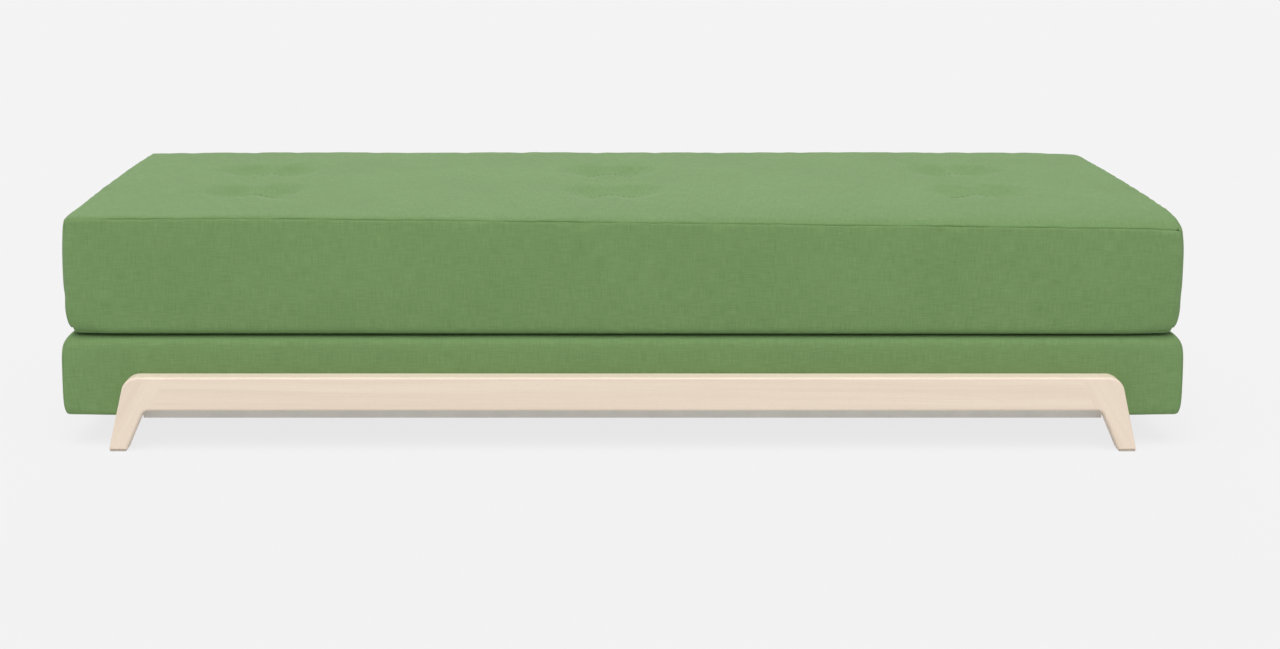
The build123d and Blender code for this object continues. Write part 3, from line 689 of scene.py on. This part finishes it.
def make_finish(name, plain, dull, rough, speckles, rise, scuffs=None):
    """A plain finish such as plating, paint, plastic, foam or felt, with its fine unevenness.

    rough is its lowest and highest roughness, speckles how many there are in a metre, and rise how
    high they stand. Only a metal has scuffs."""
    material, tree, shader = new_material(name)
    marks = placed(tree, fine_marks, {"Place": own_place(tree), "Speckles per metre": speckles})
    patch = between(tree, marks["Patches"], 0.35, 0.65)
    fine = between(tree, marks["Speckle"], 0.3, 0.7)
    tone = reckon(tree, "MULTIPLY_ADD", fine, 0.5, reckon(tree, "MULTIPLY", patch, 0.5))
    marked = reckon(tree, "MAXIMUM", tone, reckon(tree, "MULTIPLY", marks["Marks"], scuffs or 0.0))
    colour = blend_colours(tree, marked, tint(*plain), tint(*dull))
    roughness = between(tree, tone, 0.0, 1.0, *rough)
    metallic = 0.0 if scuffs is None else 1.0
    feed(tree, shader, {"Base Color": colour, "Roughness": roughness, "Metallic": metallic})
    raise_surface(tree, shader, fine, rise, 0.6)
    return material


green_weave = make_cloth("green_weave", tint(113, 145, 91), tint(130, 162, 107), 850.0, 0.08, "sewn")
lining_cloth = make_cloth("lining_cloth", tint(98, 98, 98), tint(122, 122, 121), 1200.0, 0.0, "flat")
zip_webbing = make_cloth("zip_webbing", tint(92, 120, 76), tint(112, 140, 92), 2200.0, 0.05, "upright")
pale_beech_rail = make_wood("pale_beech_rail")
pale_beech_right = make_wood("pale_beech_right", -leg_slope)
pale_beech_left = make_wood("pale_beech_left", leg_slope)
sawn_softwood = make_wood("sawn_softwood", 0.0, sawn_colours, 0.016, 0.78, 0.2)
steamed_slats = make_wood("steamed_slats", 0.0, steamed_colours, 0.02, 0.6, 0.2)
finishes = {name: make_finish(name, *values) for name, values in plain_finishes.items()}

slot_finishes = {
    "pale_wood": pale_beech_rail,
    "grey_felt": finishes["glide_felt"],
    "grey_painted_steel": finishes["painted_grey"],
    "zinc_steel": finishes["zinc_plate"],
    "insert_brass": finishes["brass_insert"],
    "frame_softwood": sawn_softwood,
    "slat_beech": steamed_slats,
    "foam": finishes["cut_foam"],
    "soft_filling": finishes["loose_wadding"],
    "green_fabric": green_weave,
    "grey_lining": lining_cloth,
    "tie_cord": finishes["waxed_cord"],
    "disc_felt": finishes["disc_felt"],
    "zip_webbing": zip_webbing,
    "zip_plastic": finishes["zip_plastic"],
    "zip_metal": finishes["zip_metal"],
}
leg_finishes = {"leg_left": pale_beech_left, "leg_right": pale_beech_right}


def finish_carried_nodes():
    """Gives every construction node its own finish, with the legs' grain along the legs."""
    for name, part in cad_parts.items():
        for place, held in enumerate(part.data.materials):
            part["slot_name"] = held.name.split(".")[0]
            part.data.materials[place] = slot_finishes[part["slot_name"]]
        for ending, finish in leg_finishes.items():
            if name.endswith(ending):
                part.data.materials[0] = finish


def mattress_edges(lattice, low, height):
    """How far the rounding of the mattress's edges reaches in at each point, by axis and side."""
    half = -low[0]
    end = near_end(np.abs(lattice[:, 0]), half)
    right = near_end(lattice[:, 0], half)
    front = smooth((low[1] + front_zone - lattice[:, 1]) / front_blend)
    reach = np.zeros((len(lattice), 3, 2))
    ends = end_reach - end_reach_less_high * height + end_reach_more_front * height * front
    reach[:, 0, :] = ends[:, None]
    reach[:, 1, 0] = (
        front_reach + front_reach_more_low * (1 - height) ** 3 + front_reach_more_end * height * end
    )
    reach[:, 1, 1] = rear_reach
    reach[:, 2, 0] = under_reach + under_reach_more_end * end
    reach[:, 2, 1] = top_reach + top_reach_more_right * right
    return reach


def tuft_dimples(lattice):
    """How deep in a tuft each point lies, 0 outside and 1 at the bottom of a lobe."""
    deepest = np.zeros(len(lattice))
    for column, row in tuft_places:
        for lobe in (-tuft_lobe, tuft_lobe):
            across = (lattice[:, 0] - column - lobe) / tuft_radius
            away = np.hypot(across, (lattice[:, 1] - row) / tuft_reach)
            deepest = np.maximum(deepest, np.clip(1 - away**2, 0, 1) ** tuft_fullness)
    return deepest


def seam_droop(lattice, high):
    """How far the top seam sags: little at the left, more towards the right front corner."""
    front = np.exp(-(lattice[:, 1] - lattice[:, 1].min()) / sag_fade_back)
    near = np.exp(-(high[2] - lattice[:, 2]) / sag_fade_down)
    lean = np.clip((lattice[:, 0] - sag_start) / sag_run, 0, 1)
    corner_x = high[0] - np.abs(lattice[:, 0])
    corner_y = high[1] - np.abs(lattice[:, 1])
    corner = np.exp(-np.hypot(np.maximum(corner_x, 0), np.maximum(corner_y, 0)) / corner_fade)
    back_sag = np.where(lattice[:, 0] > 0, back_right_sag, back_left_sag)
    sag = np.where(lattice[:, 1] > 0, back_sag, corner_sag)
    return near * (seam_sag * front * lean + sag * corner)


def shape_mattress():
    """The mattress cover before it is filled: its flat lattice, points, quads, threads and panels."""
    low_x = boxing_low.x + end_inset
    low = np.array([low_x, boxing_low.y + side_bulge + front_room, panel_low.z + under_room])
    high = np.array([-low[0], boxing_high.y - rear_room, seam_level + seam_lift])
    xs, ys, zs = [rows(low[axis], high[axis], fabric_step) for axis in range(3)]
    lattice, quads, threads, keys = sewn_box(xs, ys, zs)
    height = (lattice[:, 2] - low[2]) / (high[2] - low[2])
    points = rounded(lattice, low, high, mattress_edges(lattice, low, height))
    swell = side_bulge * 4 * height * (1 - height)
    end_swell = end_bulge * (1 - np.abs(2 * height - 1) ** end_fullness)
    splay = end_splay * smooth((lattice[:, 1] - low[1]) / splay_run)
    points[:, 0] *= 1 + (end_swell + splay) / high[0]
    points[:, 1] *= np.where(points[:, 1] < 0, 1 - swell / low[1], 1)
    on_top = keys[:, 2] == len(zs) - 1
    under = keys[:, 2] == 0
    points[:, 2] += tuft_dimples(lattice) * (under * under_tuft_depth - on_top * tuft_depth)
    points[:, 2] -= seam_droop(lattice, high)
    return lattice, points, quads, threads, keys, high


def fill_mattress(cushion, lattice, half, on_top, still, top_seam):
    """Fills the mattress cover. Its underside and back stay still, and the ties hold its tufts."""
    held = np.full(len(lattice), side_hold)
    held[on_top] = top_hold
    held[lattice[:, 2] - lattice[:, 2].min() < low_band] = low_hold
    held[still] = 1.0
    held[top_seam] = seam_hold
    for column, row in tuft_places:
        beside = np.maximum(np.abs(lattice[:, 0] - column) - tuft_lobe, 0)
        away = np.hypot(beside, lattice[:, 1] - row)
        held = np.maximum(held, on_top * (1 - smooth((away - tie_hold_reach) / tie_hold_blend)))
    at_end = smooth((np.abs(lattice[:, 0]) - half + end_move_zone) / end_move_blend)
    most = np.where(on_top, top_move, side_move - end_move_less * at_end)
    fill_cover(cushion, held, filling_pressure, filling_slack, most)


def dress_mattress():
    """The mattress cover: top panel, boxing and bottom panel, filled, tufted and sewn."""
    lattice, points, quads, threads, keys, high = shape_mattress()
    last = keys.max(axis=0)
    ring = (keys[:, :2] == 0).any(axis=1) | (keys[:, :2] == last[:2]).any(axis=1)
    on_top = keys[:, 2] == last[2]
    under = keys[:, 2] == 0
    top_seam = ring & on_top
    bottom_seam = ring & under
    still = under | (keys[:, 1] == last[1])
    cushion = new_piece("mattress_cushion", points, quads, green_weave)
    lay_threads(cushion, threads)
    fill_mattress(cushion, lattice, high[0], on_top, still, top_seam)
    mesh = cushion.data
    points = positions(mesh)
    uneven = sum(undulation(lattice, *wave) for wave in mattress_waves)
    uneven[still] = 0
    points += outward(mesh) * uneven[:, None]
    points[top_seam, 2] += undulation(lattice[top_seam], *seam_wave)
    set_positions(mesh, points)
    sew(cushion, top_seam | bottom_seam, seam_depth)
    soften(cushion)
    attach(cushion, "mattress")
    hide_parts("mattress_top_panel", "mattress_boxing", "mattress_bottom_panel")


def base_drop(across):
    """How far down the rounding of the base's upper edge reaches: most at the ends."""
    end = near_end(np.abs(across), cover_high.x)
    return base_top_turn + (base_edge_drop - base_top_turn) * end


def base_swell(level):
    """How far the ends of the base stand out at a level: most above the middle, drawn in below."""
    return base_bulge - base_bulge_less_low * smooth((base_bulge_level - level) / base_bulge_blend)


def settle_padding(name, node_name, body, finish, settle):
    """A foam or wadding piece with the shape that the cover presses it into."""
    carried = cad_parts[node_name]
    mesh = carried.data.copy()
    mesh.materials.clear()
    mesh.materials.append(finishes[finish])
    piece = bpy.data.objects.new(name, mesh)
    bpy.context.scene.collection.objects.link(piece)
    set_positions(mesh, settle(positions(mesh)))
    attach(piece, body)
    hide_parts(node_name)


def under_droop(points):
    """The mattress filling, settled with the seam above it."""
    high = np.array([boxing_high.x, boxing_high.y, seam_level])
    settled = points.copy()
    settled[:, 2] -= seam_droop(points, high) * filling_sag
    return settled


def inside_base(points):
    """The base foam, kept a cloth's thickness inside the cover, and more at its upright corners."""
    settled = points.copy()
    drop = base_drop(points[:, 0])
    rise = np.clip((points[:, 2] - cover_high.z + drop) / drop, 0, 1)
    bend = foam_bend * (1 - np.sqrt(1 - rise**2))
    near_x = np.abs(points[:, 0]) > cover_high.x - corner_reach
    near_y = np.abs(points[:, 1]) > cover_high.y - corner_reach
    room = cloth_room + corner_room * (near_x & near_y)
    most_x = cover_high.x + base_swell(points[:, 2]) - base_corner * bend - room
    most_y = cover_high.y - base_front_turn * bend - room
    settled[:, 0] = np.clip(points[:, 0], -most_x, most_x)
    settled[:, 1] = np.clip(points[:, 1], -most_y, most_y)
    return settled


def dress_base():
    """The upholstered base: fabric drawn over foam and boards, and turned under to the frame."""
    low = np.array(cover_low) + base_low_room
    high = np.array(cover_high) - base_room
    xs, ys, zs = [rows(low[axis], high[axis], fabric_step) for axis in range(3)]
    lattice, quads, threads, keys = sewn_box(xs, ys, zs)
    height = (lattice[:, 2] - low[2]) / (high[2] - low[2])
    end = near_end(np.abs(lattice[:, 0]), high[0])
    reach = np.zeros((len(lattice), 3, 2))
    reach[:, 0, :] = (base_low_corner + (base_corner - base_low_corner) * height)[:, None]
    reach[:, 1, 0] = base_front_low_turn + (base_front_turn - base_front_low_turn) * height**3
    reach[:, 1, 1] = base_rear_turn
    reach[:, 2, 0] = base_under_turn + base_under_more_end * end
    reach[:, 2, 1] = base_drop(lattice[:, 0])
    points = rounded(lattice, low, high, reach)
    points[:, 0] *= 1 + base_swell(lattice[:, 2]) / high[0]
    cover = new_piece("base_upholstery", points, quads, green_weave)
    lay_threads(cover, threads)
    inward = np.minimum(undulation(lattice, *base_wave), 0.0)
    mesh = cover.data
    set_positions(mesh, positions(mesh) + outward(mesh) * inward[:, None])
    last = keys.max(axis=0)
    corners = ((keys[:, :2] == 0) | (keys[:, :2] == last[:2])).all(axis=1)
    sew(cover, corners, base_seam_depth)
    soften(cover)
    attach(cover, "root")
    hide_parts("base_cover")


def face_outward(piece):
    """Turns every face of a piece made of small closed shapes to look out of its shape."""
    shapes = bmesh.new()
    shapes.from_mesh(piece.data)
    bmesh.ops.recalc_face_normals(shapes, faces=shapes.faces)
    shapes.to_mesh(piece.data)
    shapes.free()


def together(shapes):
    """The points and faces of several shapes as those of one."""
    points = []
    faces = []
    for shape_points, shape_faces in shapes:
        first = len(points)
        points += shape_points
        faces += [[first + corner for corner in face] for face in shape_faces]
    return points, faces


def joined_rings(rings, around, closed=False):
    """Quads between neighbouring rings of points, and from the last ring to the first if closed."""
    faces = []
    for ring in range(rings if closed else rings - 1):
        step = around if ring < rings - 1 else -ring * around
        for turn in range(around):
            here = ring * around + turn
            beside = ring * around + (turn + 1) % around
            faces.append((here, beside, beside + step, here + step))
    return faces


def capped_rings(rings, around):
    """Quads between neighbouring rings of points, and a face over the first and the last."""
    total = rings * around
    return [tuple(range(around)), tuple(range(total - around, total)), *joined_rings(rings, around)]


def short_bar(length, width, rise):
    """A short rounded bar along X, such as one stitch or the crown of a staple."""
    stations = ((-0.5, 0.3), (-0.46, 0.75), (-0.3, 1.0), (0.3, 1.0), (0.46, 0.75), (0.5, 0.3))
    around = 8
    points = []
    for place, share in stations:
        for turn in range(around):
            angle = turn * 2 * math.pi / around
            side = math.cos(angle) * width / 2 * share
            points.append((place * length, side, math.sin(angle) * rise / 2 * share))
    return points, capped_rings(len(stations), around)


def make_small_piece(name, shape, places, finish, body):
    """One piece made of a small closed shape at each of its places, which rides on a body."""
    shapes = [([place @ Vector(point) for point in shape[0]], shape[1]) for place in places]
    piece = new_piece(name, *together(shapes), finishes[finish])
    face_outward(piece)
    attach(piece, body)
    return piece


def stitch_zip_tape():
    """Two rows of machine stitches that hold the zip tape to the back boxing."""
    stitch = short_bar(stitch_pitch * stitch_share, stitch_width, stitch_width)
    count = int((tape_high.x - tape_low.x - stitch_end_room) / stitch_pitch)
    start = -(count - 1) * stitch_pitch / 2
    back = tape_high.y + stitch_lift
    lie = Matrix.Rotation(math.radians(90), 4, "X")
    places = []
    for level in (tape_low.z + stitch_margin, tape_high.z - stitch_margin):
        for number in range(count):
            places.append(Matrix.Translation((start + number * stitch_pitch, back, level)) @ lie)
    make_small_piece("zip_tape_stitches", stitch, places, "sewing_thread", "mattress")


def make_zip_teeth():
    """Moulded zip teeth: two rows that hook between each other along the tape."""
    deep = teeth_high.y - teeth_low.y
    points = []
    for depth, share in ((0.0, 1.0), (tooth_straight * deep, 1.0), (deep, tooth_crown)):
        for across, up in tooth_outline:
            level = (up + tooth_middle) * share - tooth_middle
            points.append((across * share * millimetre, depth, level * millimetre))
    tooth = (points, capped_rings(3, len(tooth_outline)))
    level = (teeth_low.z + teeth_high.z) / 2
    count = int((teeth_high.x - teeth_low.x) / zip_pitch - 0.5)
    start = -(count - 0.5) * zip_pitch / 2
    upside_down = Matrix.Rotation(math.pi, 4, "Y")
    places = []
    for number in range(count):
        place = start + number * zip_pitch
        places.append(Matrix.Translation((place, teeth_low.y, level)))
        places.append(Matrix.Translation((place + zip_pitch / 2, teeth_low.y, level)) @ upside_down)
    teeth = make_small_piece("zip_tooth_rows", tooth, places, "zip_plastic", "mattress")
    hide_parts("zip_teeth")


def stitch_tufts():
    """A short line of stitches along the bottom of every tuft, above and below, over its tie."""
    stitch = short_bar(tuft_stitch_length, tuft_stitch_width, tuft_stitch_width)
    depsgraph = bpy.context.evaluated_depsgraph_get()
    cushion = bpy.data.objects["mattress_cushion"].evaluated_get(depsgraph)
    middle = tuft_stitch_count // 2
    places = []
    for column, row in tuft_places:
        for side in (1, -1):
            for number in range(tuft_stitch_count):
                away = Vector((column + (number - middle) * tuft_stitch_pitch, row, side))
                point = cushion.ray_cast(away, Vector((0, 0, -side)))[1]
                places.append(Matrix.Translation(point))
    make_small_piece("tuft_stitches", stitch, places, "sewing_thread", "mattress")


def staple_lining():
    """The staples that hold the dust cover to the frame, all round its edge."""
    half_x = lining_high.x - staple_margin
    half_y = lining_high.y - staple_margin
    reach_x = half_x - staple_end_room
    reach_y = half_y - staple_side_room
    level = lining_low.z
    turned = Matrix.Rotation(math.pi / 2, 4, "Z")
    places = []
    for place in np.linspace(-reach_x, reach_x, round(2 * half_x / staple_pitch)):
        for side in (-half_y, half_y):
            places.append(Matrix.Translation((place, side, level)))
    for place in np.linspace(-reach_y, reach_y, round(2 * half_y / staple_pitch)):
        for side in (-half_x, half_x):
            places.append(Matrix.Translation((side, place, level)) @ turned)
    staple = short_bar(*staple_size)
    make_small_piece("lining_staples", staple, places, "staple_wire", "root")


def screw_head(radius):
    """A raised screw head that looks along Z, with a cross cut in its crown for the driver."""
    corner = math.degrees(math.atan(cross_slot / cross_arm))
    turns = [quarter * 90 + turn for quarter in range(4) for turn in (-45, -28, -corner, 0, corner, 28)]
    points = []
    for kind, share, rise in screw_rings:
        for turn in turns:
            angle = math.radians(turn)
            aside = abs((angle + math.pi / 4) % (math.pi / 2) - math.pi / 4)
            reach = 1.0
            if kind == "cross":
                reach = min(cross_arm / math.cos(aside), cross_slot / max(math.sin(aside), 1e-6))
            reach *= share * radius
            points.append((math.cos(angle) * reach, math.sin(angle) * reach, rise * radius))
    return points, capped_rings(len(screw_rings), len(turns))


def screw_places(spots, facing):
    """Where each screw head sits, with every cross turned a little further than the last."""
    places = []
    for number, spot in enumerate(spots):
        driven = Matrix.Rotation(math.radians(screw_turn * number), 4, "Z")
        places.append(Matrix.Translation(spot) @ facing @ driven)
    return places


def cut_screw_heads():
    """Heads with their crosses on the screws that show: in the upper leaves and in the angles."""
    level = (leaf_screws_low.z + leaf_screws_high.z) / 2
    sides = (-leaf_screw_spread, leaf_screw_spread)
    spots = [(column + side, leaf_screws_high.y, level) for column in hinge_columns for side in sides]
    looking_back = Matrix.Rotation(math.radians(-90), 4, "X")
    head = screw_head(leaf_screw_radius)
    places = screw_places(spots, looking_back)
    make_small_piece("hinge_screw_heads", head, places, "zinc_plate", "mattress")
    outer = angle_screws_high.x - angle_screw_radius
    row = angle_screws_high.y - angle_screw_radius
    columns = (-outer, -outer / 3, outer / 3, outer)
    spots = [(column, side, angle_screws_low.z) for column in columns for side in (-row, row)]
    looking_down = Matrix.Rotation(math.pi, 4, "X")
    head = screw_head(angle_screw_radius)
    places = screw_places(spots, looking_down)
    make_small_piece("angle_screw_heads", head, places, "zinc_plate", "root")


def slider_body():
    """The slider's channelled body, which widens towards its mouth and is open towards the tape."""
    half = (slider_high.x - slider_low.x) / 2
    points = []
    for along, wide in slider_stations:
        lift = 1.0 if abs(along) < slider_rim else slider_rim_lift
        one_side = [(wide - inward, out) for inward, out in slider_side]
        outer = [(-up, out) for up, out in one_side] + [(0.0, slider_back)] + one_side[::-1]
        points += [(along * half, out * lift * millimetre, up * millimetre) for up, out in outer]
        points += [(along * half, out * millimetre, up * millimetre) for up, out in slider_channel]
    row = len(slider_channel)
    around = 2 * row
    faces = []
    for near in range(0, (len(slider_stations) - 1) * around, around):
        for place in range(row - 1):
            for first in (near + place, near + place + row):
                faces.append((first, first + 1, first + 1 + around, first + around))
        for first in (near, near + row - 1):
            faces.append((first, first + row, first + row + around, first + around))
    for near in (0, (len(slider_stations) - 1) * around):
        for first in range(near, near + row - 1):
            faces.append((first, first + 1, first + 1 + row, first + row))
    return points, faces


def slider_bridge():
    """The arched bridge over the slider's body that holds the pull."""
    points = []
    for along, out in bridge_line:
        for thick, up in ((0.0, -1.0), (0.0, 1.0), (-bridge_thickness, 1.0), (-bridge_thickness, -1.0)):
            inner = along * (1 + bridge_taper * thick)
            points.append((inner * millimetre, (out + thick) * millimetre, up * millimetre))
    return points, capped_rings(len(bridge_line), 4)


def slider_pull():
    """The flat pull that hangs from the bridge, with rounded ends and a hole near its tip."""
    around = 32
    points = []
    for out, shrink in pull_edges:
        for turn in range(around):
            angle = (turn + 0.5) * 2 * math.pi / around
            aim_x = math.cos(angle)
            aim_z = math.sin(angle)
            room = pull_top - pull_hole_level if aim_z > 0 else pull_hole_level - pull_bottom
            reach_x = (pull_half_width - shrink) / max(abs(aim_x), 1e-6)
            reach_z = (room - shrink) / max(abs(aim_z), 1e-6)
            reach = (reach_x**-pull_squareness + reach_z**-pull_squareness) ** (-1 / pull_squareness)
            level = pull_hole_level + aim_z * reach
            points.append((aim_x * reach * millimetre, out * millimetre, level * millimetre))
    for out, grow in pull_hole_edges:
        for turn in range(around):
            angle = (turn + 0.5) * 2 * math.pi / around
            reach = pull_hole + grow
            level = pull_hole_level + math.sin(angle) * reach
            points.append((math.cos(angle) * reach * millimetre, out * millimetre, level * millimetre))
    return points, joined_rings(len(pull_edges) + len(pull_hole_edges), around, closed=True)


def make_zip_slider():
    """The slider: a channelled body that widens towards its mouth, a bridge and a pull with a hole."""
    middle = ((slider_low.x + slider_high.x) / 2, slider_low.y, (teeth_low.z + teeth_high.z) / 2)
    shape = together((slider_body(), slider_bridge(), slider_pull()))
    places = [Matrix.Translation(middle)]
    piece = make_small_piece("zip_slider_pull", shape, places, "zip_metal", "zip_slider")
    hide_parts("zip_slider")


finish_carried_nodes()
dress_mattress()
dress_base()
stitch_zip_tape()
make_zip_teeth()
make_zip_slider()
stitch_tufts()
staple_lining()
cut_screw_heads()
settle_padding("mattress_wadding", "upper_wadding", "mattress", "loose_wadding", under_droop)
settle_padding("mattress_top_layer", "upper_comfort_layer", "mattress", "loose_wadding", under_droop)
settle_padding("base_pad_foam", "base_foam_pad", "root", "cut_foam", inside_base)
settle_padding("base_edge_foam", "base_side_foam", "root", "cut_foam", inside_base)


def hang_lamp(name, level, spread, tilt):
    """A soft far lamp: its level on a surface that faces it, its width and its tilt in degrees."""
    lamp = bpy.data.lights.new(name, "SUN")
    set_all(lamp, energy=level * math.pi, angle=math.radians(spread))
    light = bpy.data.objects.new(name, lamp)
    light.rotation_euler = (math.radians(tilt), math.radians(lamp_roll), 0)
    bpy.context.scene.collection.objects.link(light)


def seen_plainly(tree):
    """1 for what the camera sees, straight or in a reflection or through glass, and 0 for light."""
    path = node(tree, "LightPath").outputs
    mirrored = reckon(tree, "MAXIMUM", path["Is Glossy Ray"], path["Is Transmission Ray"])
    return reckon(tree, "MAXIMUM", path["Is Camera Ray"], mirrored)


def lay_floor():
    """A wide pale floor that shows the background's colour and a light shadow of the bed."""
    corners = [(-1, -1, 0), (1, -1, 0), (1, 1, 0), (-1, 1, 0)]
    points = [Vector(corner) * floor_reach for corner in corners]
    paint, tree, shader = new_material("studio_floor")
    colour = (floor_albedo, floor_albedo, floor_albedo * floor_blue, 1)
    feed(tree, shader, {"Base Color": colour, "Roughness": 0.9, "Specular IOR Level": 0.0})
    pale = node(tree, "Emission", {0: tint(*background_shade), 1: 1.0}).outputs[0]
    share = reckon(tree, "MULTIPLY", seen_plainly(tree), 1 - shadow_share)
    shown = node(tree, "MixShader", {0: share, 1: shader.outputs[0], 2: pale}).outputs[0]
    tree.links.new(shown, tree.nodes["Material Output"].inputs["Surface"])
    floor = new_piece("studio_floor_sheet", points, [(0, 1, 2, 3)], paint, flat_sided=True)


def light_studio():
    """Even light from all sides, the plain background, and two soft far lamps."""
    world = bpy.data.worlds.new("studio_light")
    bpy.context.scene.world = world
    world.use_nodes = True
    tree = world.node_tree
    tree.nodes.clear()
    background = node(tree, "Background", {0: tint(*background_shade), 1: 1.0}).outputs[0]
    sky = node(tree, "Background", {0: (1.0, 1.0, 1.0, 1.0), 1: sky_level}).outputs[0]
    either = node(tree, "MixShader", {0: seen_plainly(tree), 1: sky, 2: background}).outputs[0]
    node(tree, "OutputWorld", {0: either})
    hang_lamp("overhead_lamp", lamp_level, lamp_spread, lamp_tilt)
    hang_lamp("rear_lamp", rear_level, rear_spread, rear_tilt)


def make_camera():
    """The photograph's camera: a metre up, a little left of the middle and tilted down."""
    data = bpy.data.cameras.new("photo_camera")
    data.sensor_width = camera_sensor
    data.lens = camera_lens
    data.shift_x, data.shift_y = camera_shift
    data.clip_end = 200
    camera = bpy.data.objects.new("photo_camera", data)
    camera.location = camera_place
    camera.rotation_euler = (math.radians(90 - camera_tilt), 0, 0)
    bpy.context.scene.collection.objects.link(camera)
    bpy.context.scene.camera = camera


lay_floor()
light_studio()
make_camera()
bpy.context.scene.view_settings.view_transform = "Standard"
